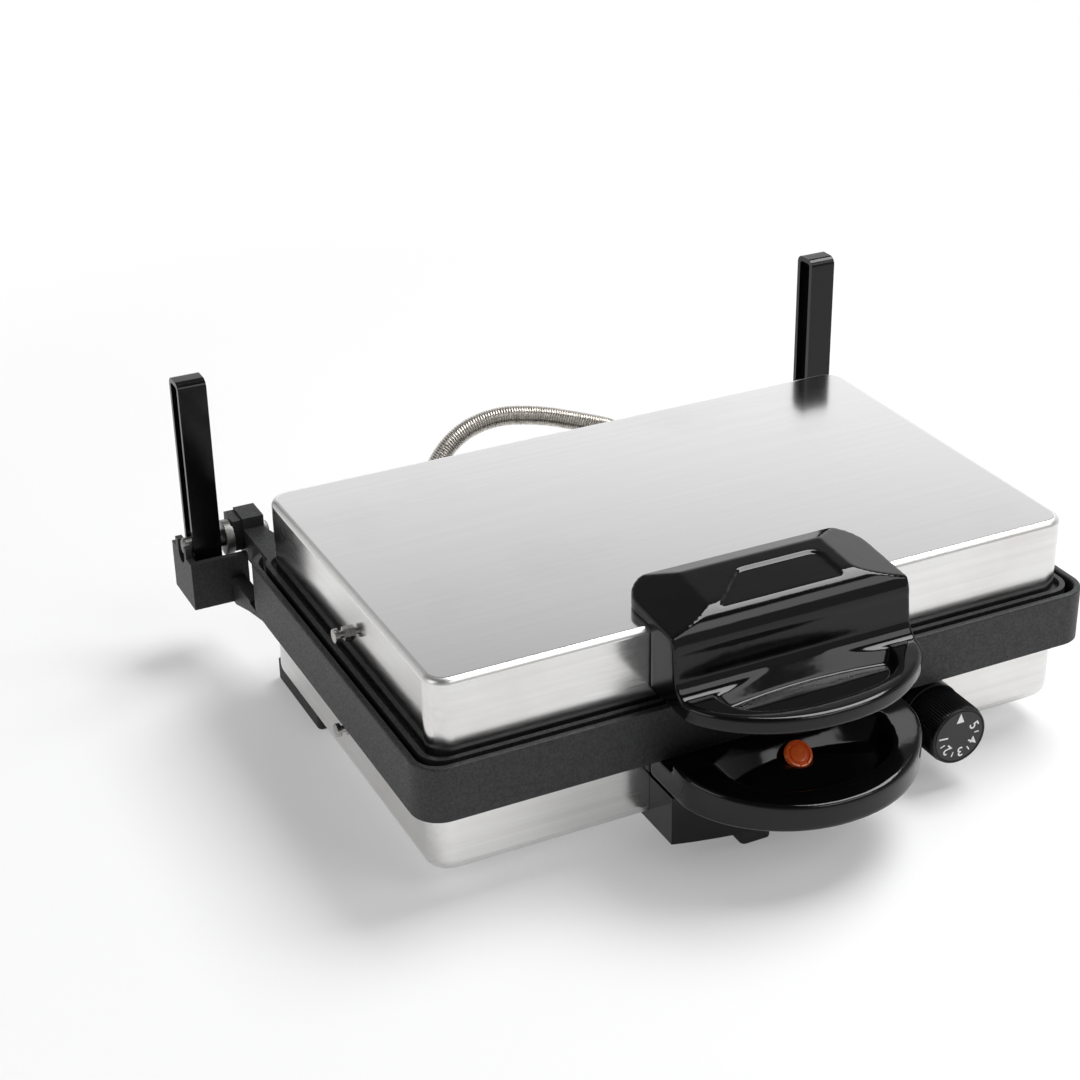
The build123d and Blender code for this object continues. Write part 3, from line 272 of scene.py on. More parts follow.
class Graph:
    """A node tree under construction."""

    def __init__(self, tree: bpy.types.NodeTree) -> None:
        """Take up the tree of a material or a world."""
        self.tree = tree

    def feed(self, socket: Socket, value: object) -> None:
        """Give a socket its value.

        Args:
            socket: the socket to feed.
            value: a socket to link it to, or else a number, a vector or a colour.
        """
        if isinstance(value, Socket):
            self.tree.links.new(value, socket)
        elif socket.type == "RGBA":
            socket.default_value = (*value, 1.0)
        else:
            socket.default_value = value

    def add(self, kind: str, inputs: Mapping[object, object],
            **settings: object) -> bpy.types.Node:
        """Add a node to the tree.

        Args:
            kind: Blender's name of the node type, without ShaderNode.
            inputs: values of its inputs, by their names or numbers.
            **settings: values of its properties.

        Returns:
            The node.
        """
        node = self.tree.nodes.new(f"ShaderNode{kind}")
        for key, value in settings.items():
            setattr(node, key, value)
        for key, value in inputs.items():
            self.feed(node.inputs[key], value)
        return node

    def math(self, operation: str, first: Socket, second: object) -> Socket:
        """Join two values, or a value and a number, by an operation that Blender names."""
        return self.add("Math", {0: first, 1: second}, operation=operation).outputs["Value"]

    def remap(self, value: Socket, low: float, high: float, start: float = 0.3,
              end: float = 0.7) -> Socket:
        """Spread a value from between start and end to between low and high."""
        inputs = {"Value": value, "From Min": start, "From Max": end, "To Min": low, "To Max": high}
        return self.add("MapRange", inputs).outputs["Result"]

    def blend(self, share: Socket, first: object, second: object) -> Socket:
        """Mix two colours by a share.

        Args:
            share: the second colour's share.
            first: a colour, or a socket that gives one.
            second: a colour, or a socket that gives one.

        Returns:
            The mixed colour.
        """
        node = self.add("Mix", {"Factor": share}, data_type="RGBA")
        sockets = [socket for socket in node.inputs if socket.type == "RGBA"]
        for socket, colour in zip(sockets, (first, second)):
            self.feed(socket, colour)
        return next(socket for socket in node.outputs if socket.type == "RGBA")

    def ramp(self, value: Socket, stops: Sequence[Span]) -> Socket:
        """Turn a direction's share from -1 to 1 into a grey.

        Args:
            value: the share of one axis.
            stops: pairs of share and grey.

        Returns:
            The grey.
        """
        node = self.add("ValToRGB", {"Fac": self.remap(value, 0.0, 1.0, -1.0, 1.0)})
        elements = node.color_ramp.elements
        while len(elements) < len(stops):
            elements.new(0.5)
        for element, (share, grey) in zip(elements, stops):
            element.position = share / 2 + 0.5
            element.color = (grey, grey, grey, 1.0)
        return node.outputs["Color"]

    def whiten(self, share: Socket, shader: Socket, light: str, output: str) -> None:
        """Send a shader, partly turned into white light, to the tree's output.

        Args:
            share: the white light's share.
            shader: the shader.
            light: Blender's name of the type that gives the light, without ShaderNode.
            output: the name of the output node.
        """
        white = self.add(light, {"Color": WHITE})
        mix = self.add("MixShader", {0: share, 1: shader, 2: white.outputs[0]})
        self.feed(self.tree.nodes[output].inputs["Surface"], mix.outputs["Shader"])


class Shader(Graph):
    """A material under construction, with one principled shader."""

    def __init__(self, name: str) -> None:
        """Start an empty material.

        Args:
            name: the material's name.
        """
        self.material = bpy.data.materials.new(name)
        self.material.use_nodes = True
        super().__init__(self.material.node_tree)
        self.surface = self.tree.nodes["Principled BSDF"]
        self.place = self.add("TexCoord", {}).outputs["Object"]

    def set(self, **values: object) -> None:
        """Feed the principled shader by names with underscores for spaces."""
        for key, value in values.items():
            self.feed(self.surface.inputs[key.replace("_", " ")], value)

    def stretched(self, scale: Sequence[float]) -> Socket:
        """Object coordinates, scaled apart along the three axes."""
        return self.add("Mapping", {"Vector": self.place, "Scale": scale}).outputs["Vector"]

    def noise(self, scale: float, detail: float = 3.0, rough: float = 0.6,
              place: Optional[Socket] = None) -> Socket:
        """A noise value over the piece.

        Args:
            scale: cycles in a metre.
            detail: octaves of finer noise.
            rough: strength of the finer octaves.
            place: coordinates, the plain object coordinates if left out.

        Returns:
            The noise's value, from 0 to 1.
        """
        inputs = {"Vector": place or self.place, "Scale": scale, "Detail": detail,
                  "Roughness": rough}
        return self.add("TexNoise", inputs).outputs["Fac"]

    def bump(self, value: Socket, depth: float, strength: float,
             under: Optional[Socket] = None) -> Socket:
        """Raise the surface by a value.

        Args:
            value: the height, from 0 to 1.
            depth: the height of 1, in metres.
            strength: how strongly it shows.
            under: a coarser relief below this one.

        Returns:
            The bumped normal.
        """
        inputs = {"Height": value, "Distance": depth, "Strength": strength}
        if under is not None:
            inputs["Normal"] = under
        return self.add("Bump", inputs).outputs["Normal"]

    def mottle(self, value: Socket, colour: Colour, worn: Colour, roughness: Span,
               share: float = 1.0) -> None:
        """Let a value set the roughness and the colour, up to a share of the worn one."""
        tone = self.blend(self.remap(value, 0.0, share), colour, worn)
        self.set(Base_Color=tone, Roughness=self.remap(value, *roughness))


@dataclass(frozen=True)
class Finish(ABC):
    """A surface finish, described by the class that is made from this one."""

    name: str

    @abstractmethod
    def dress(self, shader: Shader) -> None:
        """Set up a material with this finish."""

    def material(self) -> bpy.types.Material:
        """Build the finish.

        Returns:
            Its material.
        """
        shader = Shader(self.name)
        self.dress(shader)
        return shader.material


@dataclass(frozen=True)
class BrushedSteel(Finish):
    """Satin stainless sheet with fine brush marks and faint handling stains."""

    grain: Grain = Grain.ALONG_X
    light: Colour = (0.755, 0.75, 0.745)
    dark: Colour = (0.70, 0.695, 0.685)
    stain: Colour = (0.54, 0.47, 0.40)
    stain_share: float = 0.25
    stain_edge: Span = (0.52, 0.72)
    stain_scale: float = 11.0
    roughness: Span = (0.16, 0.25)
    marks: float = 2600.0
    mark_depth: float = 0.00001
    relief: float = 0.25
    streaks: float = 2600.0 / 9
    streak_depth: float = 0.00003
    coarse_relief: float = 0.10

    def strokes(self, shader: Shader, count: float) -> Socket:
        """Noise drawn out along the grain, with so many strokes in a metre across it."""
        scale = tuple(share * count for share in self.grain.value)
        return shader.noise(1.0, 2.0, place=shader.stretched(scale))

    def dress(self, shader: Shader) -> None:
        """Set up the brushed metal.

        Args:
            shader: the material to set up.
        """
        marks = self.strokes(shader, self.marks)
        streaks = self.strokes(shader, self.streaks)
        base = shader.blend(shader.remap(streaks, 0.0, 1.0), self.dark, self.light)
        blotches = shader.noise(self.stain_scale, 4.0)
        stained = shader.remap(blotches, 0.0, self.stain_share, *self.stain_edge)
        under = shader.bump(streaks, self.streak_depth, self.coarse_relief)
        shader.set(
            Base_Color=shader.blend(stained, base, self.stain),
            Roughness=shader.remap(marks, *self.roughness),
            Normal=shader.bump(marks, self.mark_depth, self.relief, under),
            Metallic=1.0,
        )


@dataclass(frozen=True)
class PowderCoat(Finish):
    """Black textured coating of the castings, finely speckled."""

    pit: Colour = (0.008, 0.008, 0.009)
    crest: Colour = (0.024, 0.025, 0.028)
    crest_edge: Span = (0.4, 0.68)
    grit: float = 850.0
    patches: float = 850.0 / 12
    patch_share: float = 0.3
    roughness: Span = (0.62, 0.42)
    depth: float = 0.00022
    relief: float = 0.75

    def dress(self, shader: Shader) -> None:
        """Set up the coated metal.

        Args:
            shader: the material to set up.
        """
        grit = shader.noise(self.grit)
        patches = shader.noise(self.patches, 2.0, 0.55)
        crest = shader.blend(shader.remap(patches, 0.0, self.patch_share), self.crest, self.pit)
        speckle = shader.remap(grit, 0.0, 1.0, *self.crest_edge)
        shader.set(
            Base_Color=shader.blend(speckle, self.pit, crest),
            Roughness=shader.remap(grit, *self.roughness),
            Normal=shader.bump(grit, self.depth, self.relief),
        )


@dataclass(frozen=True)
class MouldedPlastic(Finish):
    """Black moulded plastic, from glossy to satin, with a faint ripple."""

    colour: Colour = (0.0024, 0.0024, 0.0028)
    roughness: Span = (0.06, 0.13)
    level: float = 0.32
    ripple: float = 0.12
    ripple_scale: float = 70.0
    ripple_depth: float = 0.0009
    grain: float = 0.02
    grain_scale: float = 420.0
    grain_depth: float = 0.00008
    smear_scale: float = 26.0
    smear_share: float = 0.5
    fading: float = 1.7

    def dress(self, shader: Shader) -> None:
        """Set up the plastic.

        Args:
            shader: the material to set up.
        """
        faded = tuple(channel * self.fading for channel in self.colour)
        smear = shader.noise(self.smear_scale, 4.0)
        shader.mottle(smear, self.colour, faded, self.roughness, self.smear_share)
        waves = shader.noise(self.ripple_scale, 2.0, 0.45)
        ripple = shader.bump(waves, self.ripple_depth, self.ripple)
        grain = shader.noise(self.grain_scale)
        shader.set(
            Normal=shader.bump(grain, self.grain_depth, self.grain, ripple),
            Specular_IOR_Level=self.level,
        )


@dataclass(frozen=True)
class Matter(Finish):
    """Unpolished rubber, ceramic, print or phenolic, with a mottled surface."""

    colour: Colour
    worn: Colour
    roughness: Span = (0.5, 0.75)
    scale: float = 300.0
    detail: float = 4.0
    relief: float = 0.2
    depth: float = 0.0001
    metallic: float = 0.0

    def dress(self, shader: Shader) -> None:
        """Set up the mottled surface.

        Args:
            shader: the material to set up.
        """
        mottle = shader.noise(self.scale, self.detail)
        shader.mottle(mottle, self.colour, self.worn, self.roughness)
        shader.set(Normal=shader.bump(mottle, self.depth, self.relief), Metallic=self.metallic)


@dataclass(frozen=True)
class PlainMetal(Matter):
    """Metal of the small and inner pieces, with wear in its tone and gloss."""

    roughness: Span = (0.18, 0.34)
    scale: float = 160.0
    relief: float = 0.05
    metallic: float = 1.0


@dataclass(frozen=True)
class ClearPlastic(Matter):
    """Tinted clear plastic or glass of the indicator."""

    roughness: Span = (0.10, 0.22)
    scale: float = 340.0
    detail: float = 3.0
    relief: float = 0.08
    clearness: float = 0.35
    index: float = 1.49
    coat: float = 0.4
    coat_roughness: float = 0.08

    def dress(self, shader: Shader) -> None:
        """Set up the mottled surface and make it clear."""
        super().dress(shader)
        shader.set(
            Transmission_Weight=self.clearness, IOR=self.index,
            Coat_Weight=self.coat, Coat_Roughness=self.coat_roughness,
        )


class Look(Enum):
    """Every finish of the grill."""

    STEEL = BrushedSteel("brushed_steel")
    STEEL_ENDS = BrushedSteel(
        "brushed_steel_ends", Grain.ALONG_Y, roughness=(0.10, 0.17), relief=0.10,
        coarse_relief=0.06,
    )
    # Flat tops of the covers: smoother steel whose lighter base colour is painted light, standing
    # in for the brighter light that falls on the top.
    STEEL_LEVEL = BrushedSteel(
        "polished_steel_painted_bright", light=(0.88, 0.88, 0.885), dark=(0.855, 0.855, 0.86),
        stain_share=0.10, roughness=(0.10, 0.15), relief=0.06, coarse_relief=0.02,
    )
    STEEL_ROLL = BrushedSteel(
        "rolled_steel", stain_share=0.15, roughness=(0.33, 0.42), relief=0.08,
        coarse_relief=0.03,
    )
    COAT = PowderCoat("speckled_black_coat")
    GLOSSY = MouldedPlastic("glossy_black_plastic")
    SATIN = MouldedPlastic(
        "satin_black_plastic", (0.004, 0.004, 0.0045), (0.26, 0.36), level=0.3,
        ripple=0.04, grain=0.2, grain_scale=900.0,
    )
    ENAMEL = MouldedPlastic(
        "black_enamel", (0.0025, 0.0025, 0.0028), (0.12, 0.20), level=0.3,
        ripple=0.03, grain=0.05, grain_scale=700.0,
    )
    PRINT = Matter(
        "white_print", (0.92, 0.92, 0.91), (0.80, 0.80, 0.79), (0.45, 0.6), 900.0, relief=0.1
    )
    BRIGHT = PlainMetal("bright_steel", (0.56, 0.55, 0.53), (0.36, 0.35, 0.33))
    DULL = PlainMetal("dull_steel", (0.30, 0.295, 0.285), (0.15, 0.15, 0.145), (0.3, 0.45))
    SHEATH = PlainMetal("element_sheath", (0.30, 0.24, 0.20), (0.17, 0.15, 0.15), (0.4, 0.6))
    REFLECTOR = PlainMetal(
        "reflector_sheet", (0.74, 0.74, 0.75), (0.62, 0.62, 0.62), (0.25, 0.4), 60.0
    )
    CERAMIC = Matter("ceramic", (0.75, 0.72, 0.66), (0.62, 0.58, 0.52))
    HOSE = PlainMetal(
        "conduit_steel", (0.62, 0.59, 0.55), (0.40, 0.37, 0.335), (0.20, 0.34), 240.0,
        relief=0.12,
    )
    DIAL = Matter(
        "dial_black", (0.003, 0.003, 0.0033), (0.006, 0.006, 0.0063), (0.3, 0.42), 700.0
    )
    LENS = ClearPlastic("orange_lens", (1.0, 0.19, 0.035), (0.92, 0.12, 0.02), clearness=0.05)
    LAMP = ClearPlastic(
        "lamp_glass", (0.92, 0.80, 0.66), (0.86, 0.66, 0.50), (0.04, 0.1), clearness=0.8
    )
    CASE = Matter("phenolic_case", (0.055, 0.036, 0.026), (0.085, 0.060, 0.042))
    RUBBER = Matter(
        "black_rubber", (0.012, 0.012, 0.012), (0.026, 0.026, 0.027), (0.55, 0.8), 500.0
    )


SLOT_LOOKS = {
    Slot.COVER_STEEL: Look.STEEL,
    Slot.PLATE_COAT: Look.COAT,
    Slot.HANDLE_PLASTIC: Look.GLOSSY,
    Slot.POST_BLACK: Look.ENAMEL,
    Slot.BRIGHT_STEEL: Look.BRIGHT,
    Slot.ELEMENT_STEEL: Look.SHEATH,
    Slot.REFLECTOR_SHEET: Look.REFLECTOR,
    Slot.CERAMIC: Look.CERAMIC,
    Slot.CONDUIT_STEEL: Look.HOSE,
    Slot.KNOB_PLASTIC: Look.SATIN,
    Slot.DIAL_PLASTIC: Look.DIAL,
    Slot.LENS_ORANGE: Look.LENS,
    Slot.LAMP_GLASS: Look.LAMP,
    Slot.THERMOSTAT_CASE: Look.CASE,
    Slot.FOOT_RUBBER: Look.RUBBER,
}


class Finishes:
    """The materials of every look, each built once."""

    def __init__(self) -> None:
        """Build the materials."""
        self.materials = {look: look.value.material() for look in Look}

    def paint(self, mesh: bpy.types.Mesh, slot: Slot, looks: Iterable[Look] = ()) -> None:
        """Give a mesh its materials.

        Args:
            mesh: the mesh.
            slot: the record's slot that it belongs to.
            looks: its looks in the order of its slots, the record's slot's own if left out.
        """
        mesh.materials.clear()
        for look in looks or (SLOT_LOOKS[slot],):
            mesh.materials.append(self.materials[look])

    def settle(self, piece: bpy.types.Object, body: Body, slot: Slot, *nodes: str,
               looks: Iterable[Look] = ()) -> None:
        """Give a finished piece its materials, its body and the nodes that it stands for.

        Args:
            piece: the finished object.
            body: the body that it rides on.
            slot: the record's slot that its finish comes from.
            *nodes: the construction nodes that it replaces.
            looks: its looks, the record's slot's own if left out.
        """
        deselect_all()
        self.paint(piece.data, slot, looks)
        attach(piece, body.value)
        if nodes:
            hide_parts(*nodes)
        LOG.info("%s: %d faces on %s", piece.name, len(piece.data.polygons), body.value)


def copy_node(node: str, name: str, flat: float = 0.6) -> bpy.types.Object:
    """Copy a construction node's mesh, merged, with its flat faces made whole.

    Args:
        node: the node to copy.
        name: the copy's name.
        flat: the angle in degrees under which faces count as flat.

    Returns:
        The copy, with its place in its mesh.
    """
    deselect_all()
    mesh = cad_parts[node].data.copy()
    mesh.name = name
    piece = bpy.data.objects.new(name, mesh)
    bpy.context.scene.collection.objects.link(piece)
    choose(piece)
    bpy.ops.object.mode_set(mode="EDIT")
    bpy.ops.mesh.select_all(action="SELECT")
    bpy.ops.mesh.remove_doubles(threshold=MERGE_DISTANCE)
    bpy.ops.mesh.customdata_custom_splitnormals_clear()
    bpy.ops.mesh.dissolve_limited(angle_limit=math.radians(flat))
    bpy.ops.object.mode_set(mode="OBJECT")
    return piece


@dataclass(frozen=True)
class Moulding:
    """A plastic handle: a construction node's shape with all its edges flowing."""

    node: str
    body: Body
    grid: float = 0.0009
    passes: int = 10
    pull: float = 0.5
    flat: float = 0.01

    def build(self, finishes: Finishes) -> None:
        """Lay an even mesh over the node's shape, smooth it and dress it.

        Args:
            finishes: the grill's materials.
        """
        piece = copy_node(self.node, f"{self.node}_moulding", self.flat)
        form = copy_node(self.node, f"{self.node}_form", self.flat)
        apply_modifier(piece, "REMESH", mode="VOXEL", voxel_size=self.grid, adaptivity=0.0)
        apply_modifier(piece, "SHRINKWRAP", target=form, wrap_method="NEAREST_SURFACEPOINT")
        apply_modifier(piece, "SMOOTH", factor=self.pull, iterations=self.passes)
        bpy.data.objects.remove(form)
        choose(piece)
        bpy.ops.object.shade_smooth()
        finishes.settle(piece, self.body, Slot.HANDLE_PLASTIC, self.node)


@dataclass(frozen=True)
class WornPiece:
    """A construction node's own shape with every sharp edge worn round."""

    node: str
    name: str
    body: Body
    slot: Slot
    width: float
    segments: int = 2
    looks: tuple[Look, ...] = ()
    sharp: float = 32.0

    def build(self, finishes: Finishes) -> None:
        """Wear the node's edges and dress it.

        Args:
            finishes: the grill's materials.
        """
        piece = copy_node(self.node, self.name)
        apply_modifier(
            piece, "BEVEL", width=self.width, segments=self.segments, limit_method="ANGLE",
            angle_limit=math.radians(self.sharp), use_clamp_overlap=True,
            miter_outer="MITER_ARC",
        )
        smooth(piece)
        finishes.settle(piece, self.body, self.slot, self.node, looks=self.looks)


@dataclass
class Cover:
    """A pressed steel cover: a shallow pan with rounded corners and one rolled edge."""

    finishes: Finishes
    node: str
    body: Body
    opens_down: bool
    corner: float
    roll: float
    sheet: float = 0.001
    corner_steps: int = 12
    roll_steps: int = 8
    smooth_angle: float = 50.0
    level_rise: float = 0.97
    roll_rise: float = 0.2
    end_lean: float = 0.8

    def build(self) -> None:
        """Model the pan from a box and dress it."""
        low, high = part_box(self.node)
        closed, opened = (high.z, low.z) if self.opens_down else (low.z, high.z)
        piece = add_box(f"{self.node}_sheet", low, high)
        select_parts(piece, edges=lambda a, b: not near(a.z, b.z))
        round_edges(self.corner, self.corner_steps)
        select_parts(piece, edges=lambda a, b: near(a.z, closed) and near(b.z, closed))
        round_edges(self.roll, self.roll_steps)
        bpy.ops.mesh.select_mode(type="FACE")
        select_parts(piece, faces=lambda middle: near(middle.z, opened))
        bpy.ops.mesh.delete(type="FACE")
        bpy.ops.object.mode_set(mode="OBJECT")
        outward(piece)
        apply_modifier(piece, "SOLIDIFY", thickness=self.sheet, offset=-1.0, use_even_offset=True)
        smooth(piece, self.smooth_angle)
        # The flat tops take the lighter steel, which paints the tops brighter than the walls.
        looks = (Look.STEEL, Look.STEEL_ENDS, Look.STEEL_LEVEL, Look.STEEL_ROLL)
        self.finishes.settle(piece, self.body, Slot.COVER_STEEL, self.node, looks=looks)
        for face in piece.data.polygons:
            face.material_index = self.part_of(face.normal)

    def part_of(self, facing: Vector) -> CoverFace:
        """Which part of the cover a face belongs to.

        Args:
            facing: the way that the face faces.

        Returns:
            The part, which is also the number of its material slot.
        """
        if abs(facing.z) > self.level_rise:
            return CoverFace.LEVEL
        if abs(facing.z) > self.roll_rise:
            return CoverFace.ROLL
        return CoverFace.END_WALL if abs(facing.x) > self.end_lean else CoverFace.WALL


@dataclass
class Conduit:
    """Ribbed steel hose in two lengths, split at a joint."""

    finishes: Finishes
    radius: float = 0.006
    groove: float = 0.0006
    ribs: int = 150
    rib_profile: tuple[Span, ...] = (
        (0.04, 1.0), (0.2, 0.25), (0.5, 0.0), (0.8, 0.25), (0.96, 1.0),
    )
    sides: int = 28
    smooth_angle: float = 60.0
    shift: float = 0.0041
    exit_run: float = 0.023
    joint_share: float = 0.38
    curve_order: int = 3
    curve_steps: int = 24
    steady: Vector = Vector((-0.6, 0.0, 0.8))
    floor_gland: Vector = Vector((-0.075, 0.124, 0.038))
    lid_gland: Vector = Vector((0.050, 0.1235, 0.106))
    route: tuple[tuple[float, float, float], ...] = (
        (-0.072, 0.173, 0.058),
        (-0.062, 0.183, 0.084),
        (-0.045, 0.182, 0.107),
        (-0.020, 0.178, 0.117),
        (0.008, 0.171, 0.1145),
        (0.029, 0.161, 0.110),
    )

    def centreline(self) -> list[Vector]:
        """Draw the hose's smooth curve from the base to the lid.

        Returns:
            Points along it.
        """
        out = Vector((0.0, self.exit_run, 0.0))
        points = [self.floor_gland, self.floor_gland + out]
        points += [Vector(point) for point in self.route]
        points += [self.lid_gland + out, self.lid_gland]
        curve = bpy.data.curves.new("conduit_line", "CURVE")
        curve.dimensions = "3D"
        spline = curve.splines.new("NURBS")
        spline.points.add(len(points) - 1)
        for control, point in zip(spline.points, points):
            control.co = (point.x, point.y + self.shift, point.z, 1.0)
        spline.use_endpoint_u = True
        spline.order_u = self.curve_order
        spline.resolution_u = self.curve_steps
        holder = bpy.data.objects.new("conduit_line", curve)
        bpy.context.scene.collection.objects.link(holder)
        line = bpy.data.meshes.new_from_object(holder)
        found = [vertex.co.copy() for vertex in line.vertices]
        bpy.data.objects.remove(holder)
        bpy.data.meshes.remove(line)
        bpy.data.curves.remove(curve)
        return found

    @staticmethod
    def walk(points: Sequence[Vector], length: float) -> tuple[Vector, Vector]:
        """Place and direction at a length along a line of points.

        Args:
            points: the line.
            length: the way along it.

        Returns:
            The place, and the unit vector along the line there.
        """
        for start, end in zip(points, points[1:]):
            run = (end - start).length
            if length <= run:
                return start.lerp(end, length / run), (end - start).normalized()
            length -= run
        return points[-1].copy(), (points[-1] - points[-2]).normalized()

    def stations(self, pitch: float, first: float, last: float) -> list[Span]:
        """Where along the hose its outline turns.

        Args:
            pitch: the way from rib to rib.
            first: where this length of the hose starts.
            last: where it ends.

        Returns:
            Lengths along the hose, each with its share of the groove's depth.
        """
        found = [(first, 1.0)]
        rib = int(round(first / pitch))
        while rib * pitch < last - pitch / 2:
            found += [((rib + share) * pitch, depth) for share, depth in self.rib_profile]
            rib += 1
        return [*found, (last, 1.0)]

    def ring(self, place: Vector, along: Vector, reach: float) -> list[Vector]:
        """Points of a circle round the hose.

        Args:
            place: the circle's middle.
            along: the hose's direction there.
            reach: the circle's radius.

        Returns:
            The points.
        """
        across = along.cross(self.steady).normalized()
        up = across.cross(along)
        angles = (2 * math.pi * side / self.sides for side in range(self.sides))
        return [place + reach * (across * math.cos(a) + up * math.sin(a)) for a in angles]

    def tube(self, name: str, points: Sequence[Vector],
             stations: Sequence[Span]) -> bpy.types.Object:
        """Model a length of ribbed tube along the centreline, with closed ends.

        Args:
            name: the piece's name.
            points: the whole centreline.
            stations: where along it the outline turns, with shares of the groove's depth.

        Returns:
            The tube.
        """
        deselect_all()
        bpy.ops.mesh.primitive_circle_add(vertices=self.sides, radius=self.radius)
        piece = bpy.context.object
        piece.name = name
        mesh = bmesh.new()
        rings = []
        for length, depth in stations:
            ring = self.ring(*self.walk(points, length), self.radius - self.groove * depth)
            rings.append([mesh.verts.new(point) for point in ring])
        for before, after in zip(rings, rings[1:]):
            for side in range(self.sides):
                following = (side + 1) % self.sides
                mesh.faces.new((before[side], before[following], after[following], after[side]))
        mesh.faces.new(rings[0])
        mesh.faces.new(reversed(rings[-1]))
        mesh.to_mesh(piece.data)
        mesh.free()
        outward(piece)
        choose(piece)
        bpy.ops.object.shade_smooth_by_angle(angle=math.radians(self.smooth_angle))
        return piece

    def build(self) -> None:
        """Model both lengths, split at the joint, and dress them."""
        points = self.centreline()
        total = sum((b - a).length for a, b in zip(points, points[1:]))
        pitch = total / self.ribs
        middle = round(self.ribs * self.joint_share) * total / self.ribs
        joint_place = self.walk(points, middle)[0]
        lower = self.tube("conduit_lower_length", points, self.stations(pitch, 0.0, middle))
        upper = self.tube("conduit_upper_length", points, self.stations(pitch, middle, total))
        spans = (
            (lower, Body.BASE, Body.CARRIAGE, points[0], joint_place),
            (upper, Body.CARRIAGE, Body.LID, joint_place, points[-1]),
        )
        for piece, first, second, start, end in spans:
            deselect_all()
            self.finishes.paint(piece.data, Slot.CONDUIT_STEEL)
            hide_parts("conduit")
            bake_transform(piece)
            LOG.info("%s: %d faces", piece.name, len(piece.data.polygons))


@dataclass
class Indicator:
    """Orange lens of the indicator lamp: a domed disc in a raised rim."""

    finishes: Finishes
    tilt: float = 40.0
    radius: float = 0.00775
    rim: float = 0.0016
    rim_height: float = 0.0011
    edge: float = 0.0003
    slope: float = 0.0004
    dome: float = 0.0007
    crown: float = 0.0002
    sides: int = 72
    smooth_angle: float = 45.0

    def build(self) -> None:
        """Model the lens from a disc by pushing and insetting it."""
        low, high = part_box("indicator_lens")
        lean = math.radians(self.tilt)
        facing = Vector((0.0, -math.sin(lean), math.cos(lean)))
        middle = (low + high) / 2
        depth = (high.z - low.z - 2 * self.radius * math.sin(lean)) / math.cos(lean)
        back = middle - facing * depth / 2
        lens = add_disc("indicator_lens_cap", back, facing, self.radius, self.sides)
        push(facing * (depth - self.rim_height))
        inset(self.edge, self.edge)
        push(facing * (self.rim_height - 2 * self.edge))
        inset(self.edge, self.edge)
        inset(self.rim - 2 * self.edge)
        inset(self.slope, -self.rim_height)
        inset(2 * self.edge)
        inset(self.slope, self.dome)
        inset(2 * self.slope)
        inset(3 * self.slope, self.crown)
        bpy.ops.object.mode_set(mode="OBJECT")
        outward(lens)
        smooth(lens, self.smooth_angle)
        self.finishes.settle(lens, Body.BASE, Slot.LENS_ORANGE, "indicator_lens")


